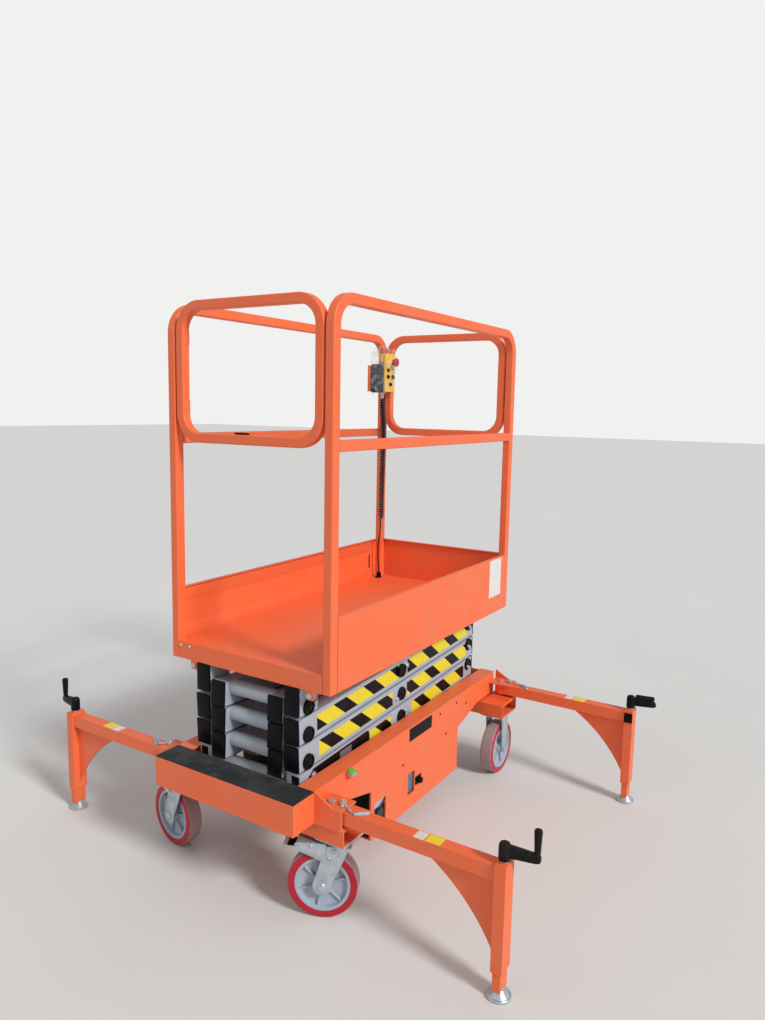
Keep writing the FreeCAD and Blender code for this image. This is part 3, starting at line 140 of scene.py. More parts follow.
def new_material(name, **settings):
    """Empty material with one Principled shader; settings name its sockets, with _ for a space."""
    material = bpy.data.materials.new(name)
    material.use_nodes = True
    material.node_tree.nodes.clear()
    shader = add_node(material, "ShaderNodeBsdfPrincipled",
                      {key.replace("_", " "): value for key, value in settings.items()})
    add_node(material, "ShaderNodeOutputMaterial", {}, {"Surface": (shader, "BSDF")})
    return material, shader


def noise(material, coords, scale, detail=2.0, roughness=0.5):
    return add_node(material, "ShaderNodeTexNoise", {"Scale": scale, "Detail": detail, "Roughness": roughness},
                    {"Vector": (coords, "Object")})


def ramp(material, source, output, low, high):
    """Stretches a pattern so that low becomes 0 and high becomes 1."""
    return add_node(material, "ShaderNodeMapRange", {"From Min": low, "From Max": high},
                    {"Value": (source, output)})


def mix(material, factor, output, first, second):
    """Colour mix; first and second are colours or (node, output)."""
    settings = {"data_type": "RGBA"}
    links = {0: (factor, output)}
    for socket, value in ((6, first), (7, second)):
        if isinstance(value, tuple):
            links[socket] = value
        else:
            settings[socket] = value
    return add_node(material, "ShaderNodeMix", settings, links)


def darker(colour, share):
    return [c * share for c in colour[:3]] + [1.0]


def towards(colour, other, share):
    return [a * (1 - share) + b * share for a, b in zip(colour[:3], other[:3])] + [1.0]


def painted_steel(name, colour, rough, dust, edge, **settings):
    """Sprayed and baked paint on sheet steel.

    Orange peel about 3 mm across breaks up the gloss, a thin dust film lies in cloudy patches, and the
    folded edges look rounded by about a millimetre.
    """
    material, shader = new_material(name, IOR=1.5, **settings)
    coords = add_node(material, "ShaderNodeTexCoord")
    dust_colour = linear("#A89C8E")
    clouds = ramp(material, noise(material, coords, 6.0, 5.0, 0.6), "Fac", 0.45, 0.75)
    grime = ramp(material, noise(material, coords, 38.0, 6.0, 0.7), "Fac", 0.58, 0.72)
    shade = mix(material, clouds, "Result", colour, towards(colour, dust_colour, dust))
    worn = mix(material, grime, "Result", (shade, 2), towards(colour, dust_colour, dust * 1.8))
    material.node_tree.links.new(worn.outputs[2], shader.inputs["Base Color"])
    gloss = add_node(material, "ShaderNodeMapRange", {"From Min": 0.3, "From Max": 0.7,
                                                      "To Min": rough - 0.06, "To Max": rough + 0.12},
                     {"Value": (noise(material, coords, 14.0, 4.0, 0.6), "Fac")})
    material.node_tree.links.new(gloss.outputs[0], shader.inputs["Roughness"])
    round_edge = add_node(material, "ShaderNodeBevel", {"samples": 4, "Radius": edge})
    peel = add_node(material, "ShaderNodeBump", {"Strength": 0.25, "Distance": 0.0003},
                    {"Height": (noise(material, coords, 330.0, 2.0), "Fac"), "Normal": (round_edge, 0)})
    material.node_tree.links.new(peel.outputs[0], shader.inputs["Normal"])
    return material


def zinc_plated(name, colour, rough):
    """Electroplated zinc: a cool bright metal with cloudy passivation and fine rolling marks."""
    material, shader = new_material(name, Metallic=0.7)
    coords = add_node(material, "ShaderNodeTexCoord")
    clouds = ramp(material, noise(material, coords, 45.0, 4.0, 0.6), "Fac", 0.35, 0.7)
    tone = mix(material, clouds, "Result", colour, darker(colour, 0.76))
    material.node_tree.links.new(tone.outputs[2], shader.inputs["Base Color"])
    gloss = add_node(material, "ShaderNodeMapRange", {"From Min": 0.3, "From Max": 0.7, "To Min": rough,
                                                      "To Max": rough + 0.2}, {"Value": (clouds, 0)})
    material.node_tree.links.new(gloss.outputs[0], shader.inputs["Roughness"])
    marks = add_node(material, "ShaderNodeBump", {"Strength": 0.15, "Distance": 0.0002},
                     {"Height": (noise(material, coords, 900.0, 3.0), "Fac")})
    material.node_tree.links.new(marks.outputs[0], shader.inputs["Normal"])
    return material


def moulded(name, colour, rough, grain, depth, dust=0.06, **settings):
    """Moulded plastic or rubber: even colour, a fine grain, slight gloss changes and a little dust."""
    material, shader = new_material(name, IOR=1.49, **settings)
    coords = add_node(material, "ShaderNodeTexCoord")
    patches = ramp(material, noise(material, coords, 25.0, 5.0, 0.65), "Fac", 0.5, 0.8)
    tone = mix(material, patches, "Result", colour, towards(colour, linear("#8F8880"), dust))
    material.node_tree.links.new(tone.outputs[2], shader.inputs["Base Color"])
    gloss = add_node(material, "ShaderNodeMapRange", {"To Min": rough - 0.08, "To Max": rough + 0.1},
                     {"Value": (patches, 0)})
    material.node_tree.links.new(gloss.outputs[0], shader.inputs["Roughness"])
    bump = add_node(material, "ShaderNodeBump", {"Strength": 0.4, "Distance": depth},
                    {"Height": (noise(material, coords, grain, 2.0), "Fac")})
    material.node_tree.links.new(bump.outputs[0], shader.inputs["Normal"])
    return material


def grit_mat(name, colour):
    """Gritted anti-slip sheet: dull bitumen grey with mineral grains, drawn 1.2 mm across to show."""
    material, shader = new_material(name, Roughness=0.93, Specular_IOR_Level=0.25)
    coords = add_node(material, "ShaderNodeTexCoord")
    grains = add_node(material, "ShaderNodeTexVoronoi", {"Scale": 830.0}, {"Vector": (coords, "Object")})
    sparkle = ramp(material, grains, "Distance", 0.1, 0.55)
    tone = mix(material, sparkle, "Result", towards(colour, linear("#7C7F83"), 0.35), darker(colour, 0.7))
    wear = ramp(material, noise(material, coords, 9.0, 5.0, 0.6), "Fac", 0.45, 0.75)
    dusty = mix(material, wear, "Result", (tone, 2), towards(colour, linear("#857F78"), 0.3))
    material.node_tree.links.new(dusty.outputs[2], shader.inputs["Base Color"])
    bump = add_node(material, "ShaderNodeBump", {"Strength": 0.8, "Distance": 0.0006, "invert": True},
                    {"Height": (grains, "Distance")})
    material.node_tree.links.new(bump.outputs[0], shader.inputs["Normal"])
    return material


def tyre_rubber(name, colour, centre, heading):
    """Cast polyurethane: satin red sides, and a pale grey, rougher running surface near the rim."""
    material, shader = new_material(name, IOR=1.5)
    coords = add_node(material, "ShaderNodeTexCoord")
    place = add_node(material, "ShaderNodeMapping", {"vector_type": "TEXTURE", "Location": centre,
                                                     "Rotation": (0, 0, heading)},
                     {"Vector": (coords, "Object")})
    flat = add_node(material, "ShaderNodeVectorMath", {"operation": "MULTIPLY", 1: (1, 0, 1)},
                    {0: (place, 0)})
    radius = add_node(material, "ShaderNodeVectorMath", {"operation": "LENGTH"}, {0: (flat, 0)})
    rough_edge = add_node(material, "ShaderNodeMath", {"operation": "MULTIPLY_ADD", 1: 0.005},
                          {0: (noise(material, coords, 60.0, 5.0, 0.7), "Fac"), 2: (radius, "Value")})
    running = ramp(material, rough_edge, 0, 0.1002, 0.1018)
    tone = mix(material, running, "Result", colour, linear("#A98F8C"))
    material.node_tree.links.new(tone.outputs[2], shader.inputs["Base Color"])
    gloss = add_node(material, "ShaderNodeMapRange", {"To Min": 0.38, "To Max": 0.75}, {"Value": (running, 0)})
    material.node_tree.links.new(gloss.outputs[0], shader.inputs["Roughness"])
    bump = add_node(material, "ShaderNodeBump", {"Strength": 0.3, "Distance": 0.0004},
                    {"Height": (noise(material, coords, 260.0, 3.0), "Fac")})
    material.node_tree.links.new(bump.outputs[0], shader.inputs["Normal"])
    return material


def hazard_tape(name, yellow, black):
    """Retroreflective tape: stripes along the piece's own UV, one pair of stripes for each unit of u."""
    material, shader = new_material(name, IOR=1.5, Specular_IOR_Level=0.12)
    coords = add_node(material, "ShaderNodeTexCoord")
    split = add_node(material, "ShaderNodeSeparateXYZ", {}, {0: (coords, "UV")})
    part = add_node(material, "ShaderNodeMath", {"operation": "FRACT"}, {0: (split, 0)})
    stripe = add_node(material, "ShaderNodeMath", {"operation": "GREATER_THAN", 1: 0.43}, {0: (part, 0)})
    cells = add_node(material, "ShaderNodeTexVoronoi", {"Scale": 330.0, "feature": "DISTANCE_TO_EDGE"},
                     {"Vector": (coords, "Object")})
    net = ramp(material, cells, "Distance", 0.02, 0.12)
    bright = mix(material, net, "Result", darker(yellow, 0.82), yellow)
    tone = mix(material, stripe, 0, black, (bright, 2))
    grime = add_node(material, "ShaderNodeMapRange", {"From Min": 0.5, "From Max": 0.85, "To Max": 0.10},
                     {"Value": (noise(material, coords, 22.0, 5.0, 0.7), "Fac")})
    dusty = mix(material, grime, "Result", (tone, 2), towards(darker(yellow, 0.4), black, 0.4))
    material.node_tree.links.new(dusty.outputs[2], shader.inputs["Base Color"])
    gloss = add_node(material, "ShaderNodeMapRange", {"To Min": 0.3, "To Max": 0.6}, {"Value": (grime, 0)})
    material.node_tree.links.new(gloss.outputs[0], shader.inputs["Roughness"])
    return material


def clear_film(name):
    """Polyethylene film left from delivery: almost clear, milky where it is creased."""
    material, shader = new_material(name, IOR=1.5, Roughness=0.22, Base_Color=linear("#DCD8D6"))
    coords = add_node(material, "ShaderNodeTexCoord")
    crease = ramp(material, noise(material, coords, 42.0, 2.0, 0.5), "Fac", 0.5, 0.72)
    veil = add_node(material, "ShaderNodeMapRange", {"To Min": 0.04, "To Max": 0.30}, {"Value": (crease, 0)})
    material.node_tree.links.new(veil.outputs[0], shader.inputs["Alpha"])
    bump = add_node(material, "ShaderNodeBump", {"Strength": 0.9, "Distance": 0.002},
                    {"Height": (noise(material, coords, 60.0, 2.0, 0.5), "Fac")})
    material.node_tree.links.new(bump.outputs[0], shader.inputs["Normal"])
    return material


MADE = {}


def finish_of(slot):
    """The material for a slot of the record or for a piece made here; made once and kept."""
    if slot in MADE:
        return MADE[slot]
    look = finishes()
    makers = {
        "orange_paint": lambda: painted_steel("powder_coat_orange", list(look.orange), 0.42, 0.10, 0.0012),
        "grey_paint": lambda: painted_steel("enamel_blue_grey", list(look.scissor_grey), 0.38, 0.12, 0.0015),
        "zinc": lambda: zinc_plated("zinc_plate", list(look.zinc), 0.28),
        "black_steel": lambda: painted_steel("black_coated_steel", list(look.black), 0.36, 0.03, 0.0012,
                                             Specular_IOR_Level=0.12),
        "chrome_rod": lambda: zinc_plated("hard_chrome", linear("#D5D8DC"), 0.08),
        "black_plastic": lambda: moulded("polyethylene_black", list(look.plastic), 0.42, 500.0, 0.0002, 0.02,
                                         Specular_IOR_Level=0.12),
        "grey_plastic": lambda: moulded("abs_blue_grey", list(look.box), 0.45, 650.0, 0.0002),
        "yellow_plastic": lambda: moulded("abs_yellow", list(look.box_face), 0.4, 650.0, 0.0002),
        "red_plastic": lambda: moulded("abs_red", list(look.button), 0.3, 500.0, 0.0001),
        "tread_grit": lambda: grit_mat("grit_mat", list(look.grit)),
        "core_plastic": lambda: moulded("nylon_grey", list(look.core), 0.4, 350.0, 0.0002),
        # The vial's green also glows a little by emission: painted light, the vial is no lamp.
        "vial_green": lambda: moulded("acrylic_green_glowing", list(look.vial), 0.12, 200.0, 0.0,
                                      Emission_Color=list(look.vial), Emission_Strength=0.15),
        "cord_black": lambda: moulded("cable_sheath", list(look.cord), 0.4, 700.0, 0.0001),
        "tape": lambda: hazard_tape("hazard_tape", list(look.tape_yellow), list(look.tape_black)),
        "label": lambda: moulded("vinyl_label", list(look.label), 0.35, 400.0, 0.0001),
        "dull_label": lambda: moulded("vinyl_dull_violet", linear("#6E6270"), 0.4, 400.0, 0.0001),
        "yellow_label": lambda: moulded("vinyl_yellow", list(look.tape_yellow), 0.35, 400.0, 0.0001),
        "dull_steel": lambda: zinc_plated("steel_blue_grey", linear("#7F8DA6"), 0.35),
        "gauge": lambda: moulded("acrylic_dark", linear("#20282C"), 0.15, 300.0, 0.0001),
        "film": lambda: clear_film("delivery_film"),
    }
    MADE[slot] = makers[slot]()
    return MADE[slot]


# Modelling by hand, step by step

def deselect():
    if bpy.context.mode != "OBJECT":
        bpy.ops.object.mode_set(mode="OBJECT")
    bpy.ops.object.select_all(action="DESELECT")


def activate(piece):
    deselect()
    piece.select_set(True)
    bpy.context.view_layer.objects.active = piece


def apply_place(piece):
    activate(piece)
    bpy.ops.object.transform_apply(location=True, rotation=True, scale=True)


def rounded(piece, radius, segments=2):
    """Rounds all the sharp edges of a piece."""
    activate(piece)
    bevel = piece.modifiers.new("edges", "BEVEL")
    bevel.width = radius
    bevel.segments = segments
    bevel.limit_method = "ANGLE"
    bevel.angle_limit = math.radians(40)
    bpy.ops.object.modifier_apply(modifier=bevel.name)


def slab(low, high, edge=0.001, segments=2):
    """Block between two corners, with rounded edges."""
    deselect()
    low, high = Vector(low), Vector(high)
    bpy.ops.mesh.primitive_cube_add(size=1, location=(low + high) / 2, scale=high - low)
    piece = bpy.context.object
    apply_place(piece)
    if edge:
        rounded(piece, edge, segments)
    return piece


def turned(rows, sides=32):
    """Round form along +Z: rows of (radius, height) from its foot to its top."""
    deselect()
    radius, height = rows[0]
    bpy.ops.mesh.primitive_circle_add(vertices=sides, radius=radius, fill_type="NGON", location=(0, 0, height))
    piece = bpy.context.object
    apply_place(piece)
    bpy.ops.object.mode_set(mode="EDIT")
    bpy.ops.mesh.select_all(action="SELECT")
    for next_radius, next_height in rows[1:]:
        bpy.ops.mesh.extrude_region_move(TRANSFORM_OT_translate={"value": (0, 0, next_height - height)})
        scale = next_radius / radius
        bpy.ops.transform.resize(value=(scale, scale, 1), center_override=(0, 0, next_height))
        radius, height = next_radius, next_height
    bpy.ops.mesh.select_all(action="SELECT")
    bpy.ops.mesh.normals_make_consistent(inside=False)
    bpy.ops.object.mode_set(mode="OBJECT")
    return piece


def extruded(outline, depth, edge=0.0):
    """Plate whose outline is drawn in the XZ plane, as thick as depth along +Y from the origin."""
    deselect()
    bpy.ops.mesh.primitive_circle_add(vertices=len(outline), radius=1, fill_type="NGON")
    piece = bpy.context.object
    for vertex, (x, z) in zip(piece.data.vertices, outline):
        vertex.co = (x, 0, z)
    bpy.ops.object.mode_set(mode="EDIT")
    bpy.ops.mesh.select_all(action="SELECT")
    bpy.ops.mesh.extrude_region_move(TRANSFORM_OT_translate={"value": (0, depth, 0)})
    bpy.ops.mesh.select_all(action="SELECT")
    bpy.ops.mesh.normals_make_consistent(inside=False)
    bpy.ops.object.mode_set(mode="OBJECT")
    if edge:
        rounded(piece, edge)
    return piece


def stood(piece, place, direction=(0, 0, 1), roll=0.0):
    """Turns a piece made along +Z to a direction, and puts its origin at a place."""
    turn = Vector(direction).to_track_quat("Z", "Y").to_matrix().to_4x4()
    piece.matrix_world = Matrix.Translation(Vector(place)) @ turn @ Matrix.Rotation(roll, 4, "Z")
    apply_place(piece)
    return piece


def laid(piece, matrix):
    """Moves a piece made at the origin by a matrix."""
    piece.matrix_world = matrix
    apply_place(piece)
    return piece


def copied(piece):
    twin = piece.copy()
    twin.data = piece.data.copy()
    bpy.context.collection.objects.link(twin)
    return twin


def mirrored(piece, axis):
    """Mirror image of a piece in the plane through the machine's middle that is square to an axis."""
    twin = copied(piece)
    scale = [1, 1, 1]
    scale[axis] = -1
    twin.matrix_world = Matrix.Translation(SHIFT) @ Matrix.Diagonal((*scale, 1)) @ Matrix.Translation(-SHIFT)
    apply_place(twin)
    bpy.ops.object.mode_set(mode="EDIT")
    bpy.ops.mesh.select_all(action="SELECT")
    bpy.ops.mesh.flip_normals()
    bpy.ops.object.mode_set(mode="OBJECT")
    return twin


def joined(pieces):
    activate(pieces[0])
    for piece in pieces[1:]:
        piece.select_set(True)
    bpy.ops.object.join()
    return bpy.context.object


def settle(piece, name, slot, body):
    """Names a finished piece, gives it the material of a finish slot and parents it to its body's empty."""
    activate(piece)
    bpy.ops.object.shade_smooth_by_angle(angle=math.radians(35))
    piece.name = name
    piece.data.name = name
    piece.data.materials.clear()
    piece.data.materials.append(finish_of(slot))
    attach(piece, body)
    return piece


def hex_bolt(across, height, washer=True):
    """Hexagon head with a chamfered top, standing on a flat washer."""
    radius = across / math.sqrt(3)
    head = turned([(radius * 0.97, 0.0), (radius, height * 0.08), (radius, height * 0.85),
                   (radius * 0.86, height)], 6)
    if not washer:
        return head
    ring = turned([(radius * 1.3, -0.0004), (radius * 1.3, 0.0012), (radius * 1.05, 0.0014)], 24)
    head.location.z = 0.0013
    apply_place(head)
    return joined([head, ring])


def joint_place(name):
    for joint in frame["joints"]:
        if joint["name"] == name:
            return Vector(joint["pos_m"])
    raise KeyError(name)


# Places of the scissor arms, from the joints that they turn about.
FAR_PIN_X = 0.46835 + SHIFT.x
ARM_PIN_OFFSET = 0.016


def arm_line(level, outer):
    """Middle of an arm's tube, its slope and half the distance between its end pins."""
    middle = joint_place(f"cross_{level}")
    near = joint_place("lift" if level == 1 else f"link_{level}")
    half_run = FAR_PIN_X - middle.x
    half_rise = middle.z - near.z
    half = math.hypot(half_run, half_rise)
    slope = math.atan2(half_rise, half_run) - math.asin(ARM_PIN_OFFSET / half)
    return middle, slope if outer else -slope, half


def arm_matrix(level, outer, y=0.0):
    """From the tube's own frame, +X along it and +Z up across it, to the model."""
    middle, slope, half = arm_line(level, outer)
    return Matrix.Translation((middle.x, y, middle.z)) @ Matrix.Rotation(-slope, 4, "Y")


class LIFT_OT_stage(bpy.types.Operator):
    """Pale floor, soft lamps and the camera at the photograph's place."""
    bl_idname = "lift.stage"
    bl_label = "Stage"

    def execute(self, context):
        deselect()
        bpy.ops.mesh.primitive_plane_add(size=80, location=(0, 0, 0))
        floor = bpy.context.object
        floor.name = "studio_floor"
        material, shader = new_material("studio_floor", Roughness=0.9, Specular_IOR_Level=0.1)
        coords = add_node(material, "ShaderNodeTexCoord")
        clouds = ramp(material, noise(material, coords, 1.2, 4.0), "Fac", 0.3, 0.8)
        tone = mix(material, clouds, "Result", list(finishes().floor), darker(list(finishes().floor), 0.96))
        material.node_tree.links.new(tone.outputs[2], shader.inputs["Base Color"])
        floor.data.materials.append(material)

        world = bpy.data.worlds.new("studio")
        context.scene.world = world
        world.use_nodes = True
        world.node_tree.nodes.clear()
        rays = add_node(world, "ShaderNodeLightPath")
        seen = add_node(world, "ShaderNodeMath", {"operation": "MAXIMUM"},
                        {0: (rays, "Is Camera Ray"), 1: (rays, "Is Transmission Ray")})
        backdrop = add_node(world, "ShaderNodeBackground", {"Color": linear("#F1F1F0"), "Strength": 1.0})
        sky = add_node(world, "ShaderNodeBackground", {"Color": linear("#F4F5F7"), "Strength": 0.55})
        both = add_node(world, "ShaderNodeMixShader", {}, {0: (seen, 0), 1: (sky, 0), 2: (backdrop, 0)})
        add_node(world, "ShaderNodeOutputWorld", {}, {"Surface": (both, 0)})

        for name, place, aim, strength, angle in (
                ("key", (-0.95, -4.3, 3.6), (0.0, 0.0, 0.6), 2.5, 12),
                ("fill", (-4.0, 3.0, 3.0), (0.0, 0.0, 0.8), 0.15, 40)):
            lamp = bpy.data.lights.new(name, "SUN")
            lamp.energy = strength
            lamp.angle = math.radians(angle)
            sun = bpy.data.objects.new(name, lamp)
            bpy.context.collection.objects.link(sun)
            sun.location = place
            sun.rotation_euler = (Vector(aim) - Vector(place)).to_track_quat("-Z", "Y").to_euler()

        camera = bpy.data.cameras.new("camera")
        camera.lens = 27.17
        camera.sensor_width = 36.0
        camera.clip_end = 200
        eye = bpy.data.objects.new("camera", camera)
        bpy.context.collection.objects.link(eye)
        yaw, pitch, roll = math.radians(32.08), math.radians(-7.55), math.radians(1.08)
        ahead = Vector((math.cos(pitch) * math.cos(yaw), math.cos(pitch) * math.sin(yaw), math.sin(pitch)))
        level_right = Vector((math.sin(yaw), -math.cos(yaw), 0))
        level_up = level_right.cross(ahead)
        right = math.cos(roll) * level_right + math.sin(roll) * level_up
        up = -math.sin(roll) * level_right + math.cos(roll) * level_up
        turn = Matrix((right, up, -ahead)).transposed().to_4x4()
        eye.matrix_world = Matrix.Translation((-2.1445, -1.448, 1.415)) @ turn
        context.scene.camera = eye
        context.scene.view_settings.view_transform = "Standard"
        return {"FINISHED"}


WHEELS = (("near_right", math.radians(116)), ("near_left", math.radians(80)),
          ("far_right", 0.0), ("far_left", 0.0))


class LIFT_OT_cad_finishes(bpy.types.Operator):
    """Gives every solid of the model its real finish."""
    bl_idname = "lift.cad_finishes"
    bl_label = "Finishes of the solids"

    def execute(self, context):
        tyres = {}
        for corner, heading in WHEELS:
            low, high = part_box("tyre_" + corner)
            centre = [(a + b) / 2 for a, b in zip(low, high)]
            tyres["tyre_" + corner] = tyre_rubber("polyurethane_" + corner, list(finishes().tyre), centre,
                                                  heading)
        for name, node in frame["nodes"].items():
            for holder in node.material_slots:
                slot = holder.material.name.split(".")[0]
                holder.material = tyres[name] if name in tyres else finish_of(slot)
        return {"FINISHED"}


# Corners of the cord's route under the control box, in millimetres about the machine's middle.
COIL_ROUTE = ((516, 252, 1467), (516, 252, 1430), (522, 248, 1340), (523, 249, 1210), (521, 251, 1070),
              (523, 253, 980), (524, 254, 940))
LEAD_ROUTE = ((524, 254, 940), (524, 254, 920), (521, 258, 880), (519, 262, 835), (522, 264, 790),
              (530, 262, 748), (530, 262, 727.5))
POINTS_PER_TURN = 12
COIL_RAMP = 0.03


def eased(share):
    """Runs smoothly from 0 to 1."""
    share = max(0.0, min(1.0, share))
    return share * share * (3 - 2 * share)


def spline_curve(name, points):
    """Smooth NURBS curve with these control points."""
    curve = bpy.data.curves.new(name, "CURVE")
    curve.dimensions = "3D"
    spline = curve.splines.new("NURBS")
    spline.points.add(len(points) - 1)
    for point, place in zip(spline.points, points):
        point.co = (*place, 1.0)
    spline.order_u = 3
    spline.use_endpoint_u = True
    holder = bpy.data.objects.new(name, curve)
    bpy.context.collection.objects.link(holder)
    return holder


def line_points(holder):
    """Points along a curve's own smooth line, in order."""
    bpy.context.view_layer.update()
    mesh = bpy.data.meshes.new_from_object(holder)
    points = [vertex.co.copy() for vertex in mesh.vertices]
    bpy.data.meshes.remove(mesh)
    return points


class LIFT_OT_cord(bpy.types.Operator):
    """Curly cord from the control box down to the deck, one smooth line with all its turns."""
    bl_idname = "lift.cord"
    bl_label = "Curly cord"

    def execute(self, context):
        size = sizes()
        core = spline_curve("coil_core", [spot(*p) for p in COIL_ROUTE])
        core.data.resolution_u = 24
        line = line_points(core)
        bpy.data.objects.remove(core)
        runs = [0.0]
        for a, b in zip(line, line[1:]):
            runs.append(runs[-1] + (b - a).length)
        total = runs[-1]
        steps = round(total / size.coil_pitch * POINTS_PER_TURN)
        points = []
        k = 0
        angle = 0.0
        for step in range(steps):
            distance = total * step / steps
            while k < len(runs) - 2 and runs[k + 1] < distance:
                k += 1
            part = (distance - runs[k]) / (runs[k + 1] - runs[k])
            centre = line[k].lerp(line[k + 1], part)
            ahead = (line[k + 1] - line[k]).normalized()
            side = ahead.cross(Vector((0, 1, 0))).normalized()
            other = ahead.cross(side)
            opened = eased(min(distance, total - distance) / COIL_RAMP)
            angle += 2 * math.pi / POINTS_PER_TURN * opened
            reach = size.coil_radius * opened
            points.append(centre + side * (reach * math.cos(angle)) + other * (reach * math.sin(angle)))
        points += [spot(*p) for p in LEAD_ROUTE]
        cord = spline_curve("curly_cord", points)
        cord.data.resolution_u = 3
        measured = line_points(cord)
        cord.data.bevel_depth = size.cord_diameter / 2
        cord.data.bevel_resolution = 2
        cord.data.materials.append(finish_of("cord_black"))
        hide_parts("cord_coil", "cord_lead")
        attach(cord, "platform")
        return {"FINISHED"}


class LIFT_OT_control_station(bpy.types.Operator):
    """Ribbed control box with its yellow face, stop button and bracket."""
    bl_idname = "lift.control_station"
    bl_label = "Control station"

    def execute(self, context):
        low, high = spot(474, 223, 1477), spot(552, 283, 1590)
        body = slab(low, high, 0.005, 3)
        ribs = []
        for row in range(7):
            z = low.z + 0.012 + row * 0.0145
            ribs.append(slab((low.x - 0.0005, low.y + 0.006, z), (low.x + 0.003, high.y - 0.006, z + 0.007),
                             0.0012))
        box = settle(joined([body] + ribs), "control_housing", "grey_plastic", "platform")
        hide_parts("control_box")

        plate = slab(spot(470, 285.5, 1481), spot(553.5, 295, 1585), 0.001)
        settle(plate, "control_bracket", "orange_paint", "platform")

        face = slab(spot(476, 214.5, 1479), spot(550, 223.5, 1632), 0.003, 3)
        hood = slab(spot(477, 221, 1596), spot(549, 243, 1631), 0.004, 3)
        collar = stood(turned([(0.021, 0.0), (0.021, 0.003), (0.018, 0.005)], 40), spot(526, 214.5, 1598),
                       (0, -1, 0))
        face = settle(joined([face, hood, collar]), "control_face_plate", "yellow_plastic", "platform")
        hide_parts("control_face")

        rows = [(0.011, 0.0), (0.011, 0.010), (0.0165, 0.0125), (0.0172, 0.016), (0.0160, 0.0195),
                (0.0125, 0.0215), (0.006, 0.0225)]
        button = stood(turned(rows, 40), spot(526, 210, 1598), (0, -1, 0))
        settle(button, "stop_button", "red_plastic", "platform")

        switches = []
        for x, z in ((495, 1566), (495, 1540), (531, 1540), (513, 1510)):
            guard = stood(turned([(0.0085, 0.0), (0.0085, 0.002), (0.0065, 0.003), (0.0065, 0.007),
                                  (0.005, 0.008)], 24), spot(x, 214.5, z), (0, -1, 0))
            switches.append(guard)
        settle(joined(switches), "control_buttons", "black_plastic", "platform")

        sleeve = stood(turned([(0.0095, 0.0), (0.0095, 0.004), (0.0075, 0.008), (0.006, 0.016),
                               (0.0048, 0.026)], 24), spot(516, 252, 1478), (0, 0, -1))
        settle(sleeve, "cord_sleeve", "label", "platform")
        self.bag()
        return {"FINISHED"}

    def bag(self):
        """Clear bag from delivery, pulled over the box and open below."""
        deselect()
        bpy.ops.mesh.primitive_cylinder_add(vertices=48, radius=1, depth=1, end_fill_type="NOTHING")
        piece = bpy.context.object
        bpy.ops.object.mode_set(mode="EDIT")
        bpy.ops.mesh.select_all(action="SELECT")
        bpy.ops.mesh.subdivide(number_cuts=6)
        bpy.ops.object.mode_set(mode="OBJECT")
        foot = spot(511, 249, 1482)
        post_face = spot(553.2, 0, 0).x
        for vertex in piece.data.vertices:
            turn = math.atan2(vertex.co.y, vertex.co.x)
            rise = vertex.co.z + 0.5
            square = 1 / max(abs(math.cos(turn)), abs(math.sin(turn))) ** 0.9
            crease = 1 + 0.035 * math.sin(5 * turn + 7 * rise) + 0.025 * math.sin(11 * turn - 9 * rise)
            shut = 1 - 0.13 * eased((rise - 0.80) / 0.2)
            reach = square * crease * shut
            over_button = 0.75 * max(0.0, -math.sin(turn)) ** 3 * math.exp(-((rise - 0.65) / 0.2) ** 2)
            hem = 0.012 * math.sin(3 * turn) * (1 - rise)
            vertex.co.x = min(post_face, foot.x + 0.0420 * reach * math.cos(turn))
            vertex.co.y = foot.y + 0.0395 * reach * math.sin(turn) * (1 + over_button)
            vertex.co.z = foot.z + 0.174 * rise + hem + 0.006 * math.sin(2 * turn + 1) * rise
        activate(piece)
        wall = piece.modifiers.new("film", "SOLIDIFY")
        wall.thickness = 0.0003
        bpy.ops.object.modifier_apply(modifier=wall.name)
        settle(piece, "control_bag", "film", "platform")


class LIFT_OT_cord_gland(bpy.types.Operator):
    """Oval gland where the cord goes through the deck's corner."""
    bl_idname = "lift.cord_gland"
    bl_label = "Cord gland"

    def execute(self, context):
        plate = slab(spot(510, 251, 700.5), spot(553.5, 295, 703.5), 0.0005)
        plate = settle(plate, "gland_plate", "orange_paint", "platform")
        foot = turned([(0.0125, 0.0), (0.0125, 0.004), (0.0105, 0.006)], 32)
        foot.scale = (1.36, 0.88, 1)
        foot.location = spot(527, 262, 703.5)
        apply_place(foot)
        nut = stood(turned([(0.0096, 0.0), (0.0096, 0.009), (0.0088, 0.0095)], 8), spot(530, 262, 709))
        dome = stood(turned([(0.0086, 0.0), (0.0086, 0.004), (0.0075, 0.007), (0.0045, 0.0092)], 28),
                     spot(530, 262, 718.4))
        gland = settle(joined([foot, nut, dome]), "cord_gland_nut", "black_plastic", "platform")
        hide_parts("cord_gland")
        return {"FINISHED"}


